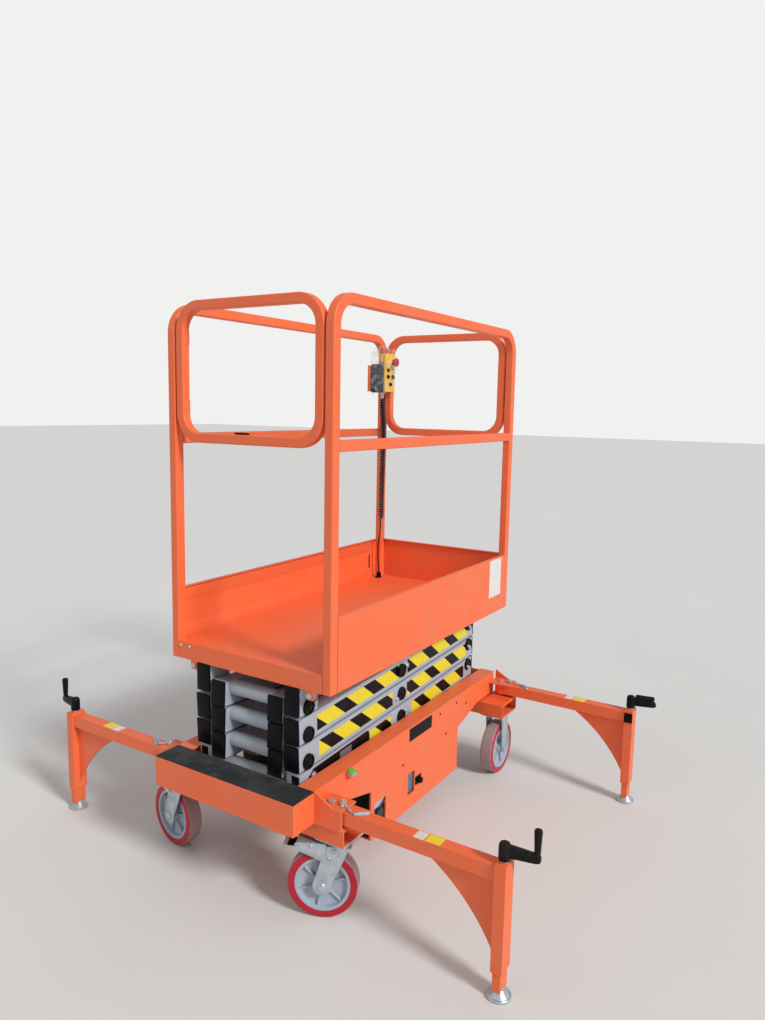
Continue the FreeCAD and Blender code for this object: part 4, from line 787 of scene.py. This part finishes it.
class LIFT_OT_arm_plugs(bpy.types.Operator):
    """Black end plugs in the arm tubes."""
    bl_idname = "lift.arm_plugs"
    bl_label = "Arm end plugs"

    def execute(self, context):
        depth = sizes().plug_depth
        ends = {}
        for level in (1, 2, 3):
            for outer in (True, False):
                body = ("outer_" if outer else "inner_") + str(level)
                low_y, high_y = (0.1425, 0.1925) if outer else (0.0825, 0.1325)
                middle, slope, half = arm_line(level, outer)
                near = half + (0.028 if outer and level == 1 else 0.037)
                far = half + 0.037
                for side_name, side in SIDES:
                    y0, y1 = sorted((side * low_y, side * high_y))
                    for end, reach in ((-1, near), (1, far)):
                        low_end = outer and level == 1 and end < 0
                        x0, x1 = sorted((end * (reach - 0.001), end * (reach + (0.003 if low_end else depth))))
                        if low_end:
                            slot_y = sorted((side * (low_y + 0.018), side * (high_y - 0.005)))
                            plug = slab((x0, slot_y[0], -0.028), (x1, slot_y[1], 0.028), 0.0022, 3)
                        else:
                            plug = slab((x0, y0 - 0.0007, -0.0382), (x1, y1 + 0.0007, 0.0382), 0.0026, 3)
                        laid(plug, arm_matrix(level, outer))
                        ends.setdefault(body, []).append(plug)
                        if low_end:
                            cap = slab((-reach - 0.0016, y0, -0.036), (-reach + 0.001, y1, 0.036), 0.001)
                            laid(cap, arm_matrix(level, outer))
                            settle(cap, "low_arm_cap_" + side_name, "grey_paint", body)
        for body, plugs in ends.items():
            settle(joined(plugs), "end_plugs_" + body, "black_plastic", body)
        plugs = []
        for side_name, side in SIDES:
            y0, y1 = sorted((side * 0.1425, side * 0.1925))
            x = spot(-582.5, 0, 0).x
            plugs.append(slab((x - depth, y0 - 0.0006, 0.5682), (x + 0.001, y1 + 0.0006, 0.6518), 0.0026, 3))
        settle(joined(plugs), "end_plugs_platform", "black_plastic", "platform")
        return {"FINISHED"}


# Tape on the outer arms: level, start and end in millimetres from the near pin, first black stripe, period.
TAPES = ((3, 44, 490, -4, 157), (3, 550, 1003, 520, 158), (2, 54, 467, 85, 152), (2, 549, 1000, 545, 153),
         (1, 323, 465, 383, 155), (1, 585, 985, 628, 155))
STRIPE_LEAN = 1.25


class LIFT_OT_hazard_tape(bpy.types.Operator):
    """Black and yellow tape on the outer arms."""
    bl_idname = "lift.hazard_tape"
    bl_label = "Hazard tape"

    def execute(self, context):
        size = sizes()
        strips = {}
        for level, start, stop, first, period in TAPES:
            middle, slope, half = arm_line(level, True)
            for side_name, side in SIDES:
                deselect()
                bpy.ops.mesh.primitive_grid_add(x_subdivisions=24, y_subdivisions=2, size=1)
                strip = bpy.context.object
                layer = strip.data.uv_layers.active or strip.data.uv_layers.new(name="UVMap")
                length = (stop - start) / 1000
                for vertex in strip.data.vertices:
                    share = vertex.co.x + 0.5
                    across = vertex.co.y * size.tape_width
                    along = start / 1000 + share * length
                    wave = 0.00012 * math.sin(along * 63.0 + level)
                    vertex.co = (along - half, 0, across + wave)
                for loop in strip.data.loops:
                    place = strip.data.vertices[loop.vertex_index].co
                    along = (place.x + half) * 1000
                    lean = STRIPE_LEAN * place.z * 1000
                    layer.data[loop.index].uv = ((along + lean - first) / period, place.z / size.tape_width)
                activate(strip)
                wall = strip.modifiers.new("thickness", "SOLIDIFY")
                wall.thickness = size.tape_thickness
                wall.offset = 0.0
                bpy.ops.object.modifier_apply(modifier=wall.name)
                laid(strip, arm_matrix(level, True, side * (0.1925 + size.tape_thickness / 2)))
                strips.setdefault(level, []).append(strip)
        for level, parts in strips.items():
            piece = joined(parts)
            bpy.ops.object.mode_set(mode="EDIT")
            bpy.ops.mesh.select_all(action="SELECT")
            bpy.ops.mesh.normals_make_consistent(inside=False)
            bpy.ops.object.mode_set(mode="OBJECT")
            settle(piece, f"hazard_tape_{level}", "tape", f"outer_{level}")
        return {"FINISHED"}


class LIFT_OT_arm_covers(bpy.types.Operator):
    """Black cover and blank label on the lowest arms, and the welded plates round the middle pins."""
    bl_idname = "lift.arm_covers"
    bl_label = "Arm covers and plates"

    def execute(self, context):
        half = arm_line(1, True)[2]
        covers, labels = [], []
        for side_name, side in SIDES:
            face = side * 0.1925
            outline = [(-0.012 - half, -0.0345), (0.306 - half, -0.0345), (0.314 - half, -0.031),
                       (0.319 - half, -0.023), (0.319 - half, 0.016), (0.315 - half, 0.026),
                       (0.307 - half, 0.030), (0.030 - half, 0.030), (0.004 - half, 0.010),
                       (-0.012 - half, 0.004)]
            cover = extruded(outline, 0.0022, 0.0007)
            cover.location.y = -0.0011 + face
            apply_place(cover)
            covers.append(laid(cover, arm_matrix(1, True)))
            label = slab((0.158 - half, -0.0002, -0.002), (0.218 - half, 0.0006, 0.024), 0.0)
            laid(label, arm_matrix(1, True, face + side * 0.0011 - (0.0006 if side < 0 else 0.0)))
            labels.append(label)
        settle(joined(covers), "low_arm_covers", "black_plastic", "outer_1")
        settle(joined(labels), "low_arm_labels", "dull_label", "outer_1")
        tube = turned([(0.0215, 0.0), (0.0225, 0.001), (0.0225, 0.257), (0.0215, 0.258)], 48)
        pin = joint_place("lift")
        settle(stood(tube, (pin.x, -0.129, pin.z), (0, 1, 0)), "low_cross_tube", "grey_paint", "outer_1")
        for level, start, stop in ((2, -0.046, 0.034), (1, -0.052, 0.034)):
            plates = []
            for side_name, side in SIDES:
                outline = [(start, -0.0345), (stop, -0.0345), (stop + 0.006, -0.020), (stop + 0.006, 0.020),
                           (stop, 0.0345), (start, 0.0345), (start - 0.006, 0.020), (start - 0.006, -0.020)]
                plate = extruded(outline, 0.002, 0.0006)
                plate.location.y = -0.001 + side * 0.1925
                apply_place(plate)
                plates.append(laid(plate, arm_matrix(level, True)))
            settle(joined(plates), f"middle_plates_{level}", "grey_paint", f"outer_{level}")
        return {"FINISHED"}


def pin_boss(size):
    """Black boss with a raised rim, a sunk ring and a domed centre."""
    r, h = size.boss_radius, size.boss_height
    return turned([(r, 0.0), (r, h * 0.75), (r * 0.93, h), (r * 0.78, h), (r * 0.72, h * 0.66),
                   (r * 0.46, h * 0.66), (r * 0.42, h * 0.85), (r * 0.26, h * 1.0), (r * 0.08, h * 1.02)], 36)


# Keeper bolts beside the bosses: pin, offset along and up from the pin's middle in metres.
KEEPERS = {"near_1": (0.028, 0.028), "near_2": (0.025, 0.004), "near_3": (0.025, -0.002),
           "middle_1": (0.036, 0.010), "middle_2": (-0.027, -0.012), "middle_3": (0.036, 0.008),
           "far_1": (-0.006, -0.010), "far_2": (-0.005, -0.008), "far_3": (-0.005, -0.008),
           "top": (0.031, 0.003)}


class LIFT_OT_pin_bosses(bpy.types.Operator):
    """Bosses on the arm pins with their keeper bolts."""
    bl_idname = "lift.pin_bosses"
    bl_label = "Pin bosses"

    def execute(self, context):
        size = sizes()
        master = pin_boss(size)
        bolt = hex_bolt(0.015, 0.0055)
        places = {"platform": [("top", joint_place("platform_level"))]}
        for level in (1, 2, 3):
            middle, slope, half = arm_line(level, True)
            near = joint_place("lift" if level == 1 else f"link_{level}")
            far = Vector((FAR_PIN_X, 0, 2 * middle.z - near.z))
            places[f"outer_{level}"] = [(f"near_{level}", near), (f"middle_{level}", middle),
                                        (f"far_{level}", far)]
        for body, pins in places.items():
            bosses, bolts = [], []
            for name, pin in pins:
                along, up = KEEPERS[name]
                on_boss = math.hypot(along, up) < size.boss_radius
                for side_name, side in SIDES:
                    face = side * 0.1925
                    bosses.append(stood(copied(master), (pin.x, face, pin.z), (0, side, 0)))
                    stand = side * (0.1925 + (size.boss_height * 0.7 if on_boss else 0.0))
                    bolts.append(stood(copied(bolt), (pin.x + along, stand, pin.z + up), (0, side, 0), 0.4))
            settle(joined(bosses), "pin_bosses_" + body, "black_steel", body)
            settle(joined(bolts), "keeper_bolts_" + body, "zinc", body)
        for spare in (master, bolt):
            bpy.data.objects.remove(spare)
        return {"FINISHED"}


def dome_bolt(radius, height):
    """Round domed head on a thin flange."""
    return turned([(radius, -0.0004), (radius, height * 0.25), (radius * 0.86, height * 0.4),
                   (radius * 0.78, height * 0.7), (radius * 0.5, height * 0.92), (radius * 0.15, height)], 24)


def wire(points, radius, closed=False):
    """Round wire through points, as a mesh."""
    curve = bpy.data.curves.new("wire", "CURVE")
    curve.dimensions = "3D"
    spline = curve.splines.new("NURBS")
    spline.points.add(len(points) - 1)
    for point, place in zip(spline.points, points):
        point.co = (*place, 1.0)
    spline.order_u = 3
    spline.use_cyclic_u = closed
    spline.use_endpoint_u = not closed
    curve.resolution_u = 4
    curve.bevel_depth = radius
    curve.bevel_resolution = 2
    curve.use_fill_caps = not closed
    holder = bpy.data.objects.new("wire", curve)
    bpy.context.collection.objects.link(holder)
    activate(holder)
    bpy.ops.object.convert(target="MESH")
    return bpy.context.object


def at_side(piece, side):
    """Moves a plate made from the plane y = 0 along Y so that that face lies at y = side."""
    piece.location.y = side
    apply_place(piece)
    return piece


# Swivel castors: kingpin in millimetres about the machine's middle and heading in degrees.
SWIVELS = {"near_right": (-535, -303, 116.0), "near_left": (-535, 303, 80.0)}
FORK_OUTLINE = ((-0.0290, 0.2190), (-0.0270, 0.2165), (-0.0010, 0.1530), (0.0225, 0.1070), (0.0215, 0.1000),
                (0.0250, 0.0860), (0.0345, 0.0768), (0.0480, 0.0735), (0.0615, 0.0768), (0.0712, 0.0868),
                (0.0745, 0.1000), (0.0720, 0.1110), (0.0530, 0.1700), (0.0410, 0.2165), (0.0390, 0.2190))
BRAKE_OUTLINE = ((0.0350, 0.2290), (0.1190, 0.2290), (0.1235, 0.2250), (0.1240, 0.2180), (0.1200, 0.2075),
                 (0.1120, 0.2030), (0.0540, 0.1800), (0.0440, 0.1815), (0.0390, 0.1870))
PLATE_BOLTS = ((-44, -35), (-44, 35), (44, -35), (44, 35))


class LIFT_OT_castors(bpy.types.Operator):
    """Stamped forks with their brakes, wheel cores, axle heads and plate bolts."""
    bl_idname = "lift.castors"
    bl_label = "Castors"

    def fork(self):
        parts = []
        for side in (-1, 1):
            leg = extruded(FORK_OUTLINE, 0.0048, 0.0012)
            parts.append(at_side(leg, 0.0301 if side > 0 else -0.0349))
            cheek = extruded(BRAKE_OUTLINE, 0.0024, 0.0009)
            parts.append(at_side(cheek, 0.0353 if side > 0 else -0.0377))
            for x, z, radius, height in ((0.015, 0.208, 0.0085, 0.004), (0.029, 0.186, 0.0055, 0.003),
                                         (0.048, 0.100, 0.0125, 0.007)):
                parts.append(stood(dome_bolt(radius, height), (x, side * 0.0349, z), (0, side, 0)))
            parts.append(stood(dome_bolt(0.0052, 0.0028), (0.078, side * 0.0377, 0.2195), (0, side, 0)))
        parts.append(slab((-0.0335, -0.0344, 0.2157), (0.0425, 0.0344, 0.2206), 0.0022, 3))
        parts.append(slab((0.0450, -0.0360, 0.2266), (0.1195, 0.0360, 0.2292), 0.0010))
        parts.append(turned([(0.0290, 0.2200), (0.0335, 0.2213), (0.0342, 0.2262), (0.0312, 0.2285),
                             (0.0312, 0.2300), (0.0332, 0.2312), (0.0332, 0.2365)], 48))
        parts.append(stood(hex_bolt(0.022, 0.008), (0, 0, 0.2157), (0, 0, -1)))
        lever = extruded([(0.1130, 0.2060), (0.1480, 0.2035), (0.1590, 0.2075), (0.1600, 0.2105),
                          (0.1570, 0.2110), (0.1470, 0.2070), (0.1130, 0.2095)], 0.044, 0.0008)
        parts.append(at_side(lever, -0.022))
        return joined(parts)

    def core(self):
        half = [(0.0140, 0.0270), (0.0200, 0.0270), (0.0220, 0.0250), (0.0240, 0.0120), (0.0300, 0.0105),
                (0.0640, 0.0090), (0.0680, 0.0110), (0.0700, 0.0215), (0.0712, 0.0232), (0.0788, 0.0232),
                (0.0798, 0.0222)]
        rows = [(r, -z) for r, z in half] + half[::-1]
        parts = [turned(rows, 72)]
        for turn in range(6):
            rib = slab((0.022, -0.0016, -0.0190), (0.0685, 0.0016, 0.0190), 0.0006, 1)
            parts.append(laid(rib, Matrix.Rotation(math.radians(60 * turn + 18), 4, "Z")))
        return joined(parts)

    def execute(self, context):
        fork = self.fork()
        pad = slab((0.1160, -0.0200, 0.2085), (0.1480, 0.0200, 0.2106), 0.0009)
        for corner, (x, y, heading) in SWIVELS.items():
            place = Matrix.Translation(spot(x, y, 0)) @ Matrix.Rotation(math.radians(heading), 4, "Z")
            body = "castor_" + corner
            piece = settle(laid(copied(fork), place), "stamped_fork_" + corner, "zinc", body)
            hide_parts("castor_fork_" + corner)
            settle(laid(copied(pad), place), "brake_pad_" + corner, "black_plastic", body)
        core = self.core()
        for corner, heading in WHEELS:
            low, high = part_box("tyre_" + corner)
            centre = (Vector(low) + Vector(high)) / 2
            direction = (-math.sin(heading), math.cos(heading), 0)
            piece = settle(stood(copied(core), centre, direction), "moulded_core_" + corner, "core_plastic",
                           "wheel_" + corner)
            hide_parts("wheel_core_" + corner)
        bolt = hex_bolt(0.013, 0.0042)
        bolts = []
        for x, y in ((-535, -303), (-535, 303), (527, -303), (527, 303)):
            for along, across in PLATE_BOLTS:
                bolts.append(stood(copied(bolt), spot(x + along, y + across, 237), (0, 0, -1), 0.3 * across))
        settle(joined(bolts), "castor_plate_bolts", "zinc", "chassis")
        for spare in (fork, pad, core, bolt):
            bpy.data.objects.remove(spare)
        return {"FINISHED"}


CORNERS = (("near_right", 0, 0), ("near_left", 0, 1), ("far_right", 1, 0), ("far_left", 1, 1))


def to_corner(piece, flip_x, flip_y):
    """Copy of a near right piece at another corner."""
    twin = copied(piece)
    for axis, flip in ((0, flip_x), (1, flip_y)):
        if flip:
            spare = twin
            twin = mirrored(twin, axis)
            bpy.data.objects.remove(spare)
    return twin


class LIFT_OT_corner_pins(bpy.types.Operator):
    """Pivot bolts, lock pins with their rings, and the chained clips lying on the beams."""
    bl_idname = "lift.corner_pins"
    bl_label = "Corner pins and chains"

    def execute(self, context):
        bolt = stood(hex_bolt(0.0195, 0.0066, False), spot(-571, -295, 349.6), (0, 0, 1), 0.35)
        shank = stood(turned([(0.0055, 0.0), (0.0055, 0.004), (0.0082, 0.0045), (0.0088, 0.0065),
                              (0.0082, 0.0090), (0.0050, 0.0098), (0.0044, 0.0135)], 28), spot(-571, -333, 349.6))
        ring = wire([spot(-571 + 9 * math.cos(a), -333 + 5 * math.sin(a), 358 + 6.5 * math.cos(a - 0.5))
                     for a in (2 * math.pi * k / 10 for k in range(10))], 0.0015, True)
        fixed = joined([bolt, shank, ring])
        links = []
        for k in range(10):
            share = k / 9
            x = -572 - 11 * math.sin(share * 2.6)
            y = -347 - 34 * share
            z = 352.6 - (5.6 * eased((share - 0.35) / 0.3))
            bpy.ops.object.select_all(action="DESELECT")
            bpy.ops.mesh.primitive_torus_add(major_segments=14, minor_segments=6, major_radius=0.0030,
                                             minor_radius=0.00085)
            link = bpy.context.object
            turn = Matrix.Rotation(1.35 + 0.4 * math.sin(share * 6.0), 4, "Z")
            tilt = Matrix.Rotation(0.55 if k % 2 else -0.55, 4, "X")
            laid(link, Matrix.Translation(spot(x, y, z)) @ turn @ tilt @ Matrix.Diagonal((1.45, 1.0, 1.0, 1.0)))
            links.append(link)
        clip_line = [(-588, -383, 346), (-577, -399, 346), (-567, -409, 346), (-558, -412, 346),
                     (-555, -404, 346), (-561, -396, 346), (-571, -386, 346), (-581, -374, 346)]
        clip = wire([spot(*p) for p in clip_line], 0.0022)
        pin = wire([spot(-588, -380, 346.5), spot(-574, -392, 347), spot(-556, -409, 346.5)], 0.0030)
        chain = joined(links + [clip, pin])
        for corner, flip_x, flip_y in CORNERS:
            pins = settle(to_corner(fixed, flip_x, flip_y), "corner_pins_" + corner, "zinc", "chassis")
            if corner == "near_right":
                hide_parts("corner_pins")
            settle(to_corner(chain, flip_x, flip_y), "clip_chain_" + corner, "zinc", "outrigger_" + corner)
        bpy.data.objects.remove(fixed)
        bpy.data.objects.remove(chain)
        return {"FINISHED"}


# Crank headings in degrees from +X on the near right corner, before mirroring, and handle up or folded.
CRANKS = {"near_right": (-78.0, True), "near_left": (-78.0, True), "far_right": (-107.0, False),
          "far_left": (-107.0, True)}
PAD_PROFILE = ((0.0290, 0.0003), (0.0310, 0.0020), (0.0310, 0.0065), (0.0295, 0.0080), (0.0262, 0.0080),
               (0.0240, 0.0105), (0.0195, 0.0150), (0.0152, 0.0205), (0.0140, 0.0220))


class LIFT_OT_outriggers(bpy.types.Operator):
    """Cranks, leg plugs, foot pads and blank stickers of the four outriggers."""
    bl_idname = "lift.outriggers"
    bl_label = "Outrigger parts"

    def crank(self, folded):
        hub = turned([(0.0140, 0.3575), (0.0150, 0.3590), (0.0150, 0.3880), (0.0143, 0.3950), (0.0115, 0.4000),
                      (0.0060, 0.4025)], 36)
        arm = extruded([(-0.002, 0.3655), (0.0740, 0.3655), (0.0840, 0.3680), (0.0862, 0.3730), (0.0855, 0.3810),
                        (0.0800, 0.3862), (0.0500, 0.3905), (0.0, 0.3968)], 0.016, 0.0022)
        at_side(arm, -0.008)
        handle = turned([(0.0062, 0.0), (0.0078, 0.0040), (0.0080, 0.0100), (0.0088, 0.0300), (0.0098, 0.0520),
                         (0.0100, 0.0590), (0.0088, 0.0630), (0.0050, 0.0645)], 28)
        if folded:
            stood(handle, (0.0800, 0.0, 0.3965), (-1, 0, 0))
        else:
            stood(handle, (0.0770, 0.0, 0.3855))
        return joined([hub, arm, handle])

    def execute(self, context):
        nut = stood(hex_bolt(0.020, 0.006, False), spot(-571, -801, 351.3))
        plug = slab(spot(-546.5, -815.6, 307.4), spot(-542.5, -786.4, 342.6), 0.0016, 3)
        cover = slab(spot(-594, -814, 350.6), spot(-548, -788, 351.6), 0.0004)
        sticker = slab(spot(-589, -590, 343.9), spot(-554, -560, 344.35), 0.0)
        second = slab(spot(-588, -636, 343.9), spot(-553, -594, 344.35), 0.0)
        foot = stood(turned(list(PAD_PROFILE), 56), spot(-571, -801, 0))
        collar = stood(turned([(0.0128, 0.0), (0.0128, 0.004), (0.0110, 0.006)], 32), spot(-571, -801, 21.5))
        pad = joined([foot, collar])
        for corner, flip_x, flip_y in CORNERS:
            heading, handle_up = CRANKS[corner]
            crank = self.crank(not handle_up)
            turn = Matrix.Translation(spot(-571, -801, 0)) @ Matrix.Rotation(math.radians(heading), 4, "Z")
            laid(crank, turn)
            body = "outrigger_" + corner
            piece = settle(to_corner(crank, flip_x, flip_y), "swing_crank_" + corner, "black_steel", body)
            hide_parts("crank_" + corner)
            bpy.data.objects.remove(crank)
            settle(to_corner(nut, flip_x, flip_y), "crank_nut_" + corner, "zinc", body)
            settle(to_corner(plug, flip_x, flip_y), "leg_plug_" + corner, "black_plastic", body)
            settle(to_corner(cover, flip_x, flip_y), "leg_cap_" + corner, "orange_paint", body)
            settle(to_corner(sticker, flip_x, flip_y), "beam_sticker_" + corner, "label", body)
            settle(to_corner(second, flip_x, flip_y), "beam_mark_" + corner, "yellow_label", body)
            piece = settle(to_corner(pad, flip_x, flip_y), "foot_pad_" + corner, "zinc", "jack_" + corner)
            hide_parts("jack_pad_" + corner)
        for spare in (nut, plug, cover, sticker, second, pad):
            bpy.data.objects.remove(spare)
        return {"FINISHED"}


class LIFT_OT_chassis_fittings(bpy.types.Operator):
    """Bubble level, blank labels, switch, gauge and small bolts on the chassis, and black panels of painted shade
    at the skirt's ends.
    """
    bl_idname = "lift.chassis_fittings"
    bl_label = "Chassis fittings"

    def execute(self, context):
        tab = slab(spot(-458, -286, 367), spot(-422, -260, 370), 0.0012, 3)
        tab = settle(tab, "level_tab", "orange_paint", "chassis")
        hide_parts("level_vial")
        ring = stood(turned([(0.0161, 0.0), (0.0165, 0.0015), (0.0159, 0.0062), (0.0142, 0.0072),
                             (0.0136, 0.0055)], 48), spot(-440, -271, 369.8))
        settle(ring, "level_ring", "zinc", "chassis")
        # The dome's green material glows a little by emission: painted light.
        dome = stood(turned([(0.0132, 0.0), (0.0134, 0.0060), (0.0127, 0.0092), (0.0104, 0.0116),
                             (0.0060, 0.0130), (0.0016, 0.0134)], 48), spot(-440, -271, 370.5))
        settle(dome, "level_dome", "vial_green", "chassis")
        screws = []
        for x in (-455, -425):
            screws.append(stood(dome_bolt(0.0028, 0.0016), spot(x, -281, 370), (0, 0, 1)))
        settle(joined(screws), "level_screws", "zinc", "chassis")

        plate = slab(spot(-90, -260.5, 331), spot(62, -259.8, 374.5), 0.0)
        settle(plate, "side_plate_blank", "black_plastic", "chassis")
        knob = stood(turned([(0.0150, 0.0), (0.0150, 0.0030), (0.0118, 0.0045), (0.0108, 0.0160),
                             (0.0088, 0.0200), (0.0040, 0.0212)], 32), spot(-24, -254.5, 176), (0, -1, 0))
        settle(knob, "power_switch", "black_plastic", "chassis")
        blade = extruded([(-0.016, -0.032), (0.010, -0.032), (0.016, -0.026), (0.018, -0.010), (0.018, 0.022),
                          (0.014, 0.030), (0.006, 0.033), (-0.008, 0.033), (-0.016, 0.028), (-0.018, 0.016),
                          (-0.018, -0.026)], 0.0023, 0.0008)
        laid(blade, Matrix.Translation(spot(-72, -256.5, 182)))
        settle(blade, "inlet_cover", "dull_steel", "chassis")
        rim = [slab(spot(-297, -255.8, 186), spot(-231, -254.0, 208), 0.001)]
        settle(joined(rim), "gauge_plate", "grey_paint", "chassis")
        band = slab((-0.038, -0.0006, -0.006), (0.038, 0.0006, 0.006), 0.0)
        laid(band, Matrix.Translation(spot(-264, -255.6, 180)) @ Matrix.Rotation(-0.5, 4, "Y"))
        dial = stood(turned([(0.0240, 0.0), (0.0240, 0.0040), (0.0215, 0.0052), (0.0205, 0.0036)], 40),
                     spot(-262, -254.6, 155), (0, -1, 0))
        settle(joined([band, dial]), "gauge_dial", "gauge", "chassis")
        # Black panels just outside the skirt's end walls are painted shade: they darken the ends where the
        # chassis' inside lies in shadow.
        shade_panels = []
        for x0, x1 in ((-319.2, -316.8), (266.8, 269.2)):
            for side_name, side in SIDES:
                y0, y1 = sorted((side * 60, side * 254))
                shade_panels.append(slab(spot(x0, y0, 104), spot(x1, y1, 286), 0.0006))
        settle(joined(shade_panels), "skirt_shade_panels", "black_plastic", "chassis")
        side_bolts = []
        for x, z in ((123, 356), (171, 267), (-127, 267), (250, 356), (330, 330)):
            side_bolts.append(stood(dome_bolt(0.0042, 0.0022), spot(x, -260, z), (0, -1, 0)))
            side_bolts.append(stood(dome_bolt(0.0042, 0.0022), spot(x, 260, z), (0, 1, 0)))
        settle(joined(side_bolts), "side_sheet_bolts", "black_steel", "chassis")
        return {"FINISHED"}


class LIFT_OT_platform_fittings(bpy.types.Operator):
    """Bolts, lugs, blank labels, latch and small marks on the platform and its guards."""
    bl_idname = "lift.platform_fittings"
    bl_label = "Platform fittings"

    def execute(self, context):
        lugs, bolts = [], []
        for y in (-230, 207):
            lug = extruded([(-0.014, 0.0), (0.014, 0.0), (0.014, -0.018), (0.009, -0.027), (-0.009, -0.027),
                            (-0.014, -0.018)], 0.004, 0.0008)
            laid(lug, Matrix.Translation(spot(-585.5, y, 653)) @ Matrix.Rotation(math.radians(-90), 4, "Z"))
            lugs.append(lug)
            bolts.append(stood(hex_bolt(0.011, 0.005), spot(-589.8, y, 640), (-1, 0, 0), 0.3))
        settle(joined(lugs), "deck_lugs", "orange_paint", "platform")
        for y, z in ((262, 693), (226, 693)):
            bolts.append(stood(dome_bolt(0.0048, 0.0026), spot(-585.5, y, z), (-1, 0, 0)))
        for side in (-1, 1):
            bolts.append(stood(dome_bolt(0.0035, 0.0018), spot(525, side * 298, 674), (0, side, 0)))
        settle(joined(bolts), "deck_edge_bolts", "zinc", "platform")

        notice = slab(spot(415, -298.5, 716), spot(518, -297.8, 858), 0.0)
        settle(notice, "toe_board_sticker", "label", "platform")

        bands = []
        for low_z, high_z in ((816, 858), (701, 739)):
            for side_name, side in SIDES:
                y0, y1 = sorted((side * 293.4, side * 295.2))
                bands.append(slab(spot(-552, y0, low_z), spot(508, y1, high_z), 0.0004))
        settle(joined(bands), "toe_board_bands", "orange_paint", "platform")

        slot = slab(spot(500, 293.6, 745), spot(507, 295.2, 797), 0.0006)
        settle(slot, "latch_slot", "black_plastic", "platform")
        red = slab(spot(500, 293.2, 795), spot(507, 295.2, 803), 0.0006)
        settle(red, "latch_end", "red_plastic", "platform")

        body = slab((-0.0065, -0.020, -0.006), (0.0065, 0.020, 0.004), 0.0015)
        laid(body, Matrix.Translation(spot(-570, 28, 1335.5)))
        nose = slab((-0.004, -0.028, -0.002), (0.004, -0.018, 0.003), 0.0008)
        laid(nose, Matrix.Translation(spot(-570, 28, 1335.5)))
        settle(joined([body, nose]), "gate_latch", "black_steel", "gate")
        return {"FINISHED"}


class LIFT_PT_panel(bpy.types.Panel):
    """Lists the lift's settings and steps."""
    bl_label = "Scissor lift"
    bl_idname = "LIFT_PT_panel"
    bl_space_type = "VIEW_3D"
    bl_region_type = "UI"
    bl_category = "Scissor lift"

    def draw(self, context):
        for group in (context.scene.lift_sizes, context.scene.lift_finishes):
            for key in group.__annotations__:
                self.layout.prop(group, key)
        for step in STEPS:
            self.layout.operator(step.bl_idname)


STEPS = (LIFT_OT_stage, LIFT_OT_cord, LIFT_OT_cad_finishes, LIFT_OT_control_station, LIFT_OT_cord_gland,
         LIFT_OT_arm_plugs, LIFT_OT_hazard_tape, LIFT_OT_arm_covers, LIFT_OT_pin_bosses, LIFT_OT_castors,
         LIFT_OT_corner_pins, LIFT_OT_outriggers, LIFT_OT_chassis_fittings, LIFT_OT_platform_fittings)
CLASSES = (LiftFinishes, LiftSizes) + STEPS + (LIFT_PT_panel,)


def register():
    for cls in CLASSES:
        bpy.utils.register_class(cls)
    bpy.types.Scene.lift_finishes = bpy.props.PointerProperty(type=LiftFinishes)
    bpy.types.Scene.lift_sizes = bpy.props.PointerProperty(type=LiftSizes)


def unregister():
    del bpy.types.Scene.lift_sizes
    del bpy.types.Scene.lift_finishes
    for cls in reversed(CLASSES):
        bpy.utils.unregister_class(cls)


def main():
    register()
    for step in STEPS:
        family, name = step.bl_idname.split(".")
        getattr(getattr(bpy.ops, family), name)()


if __name__ == "__main__":
    main()
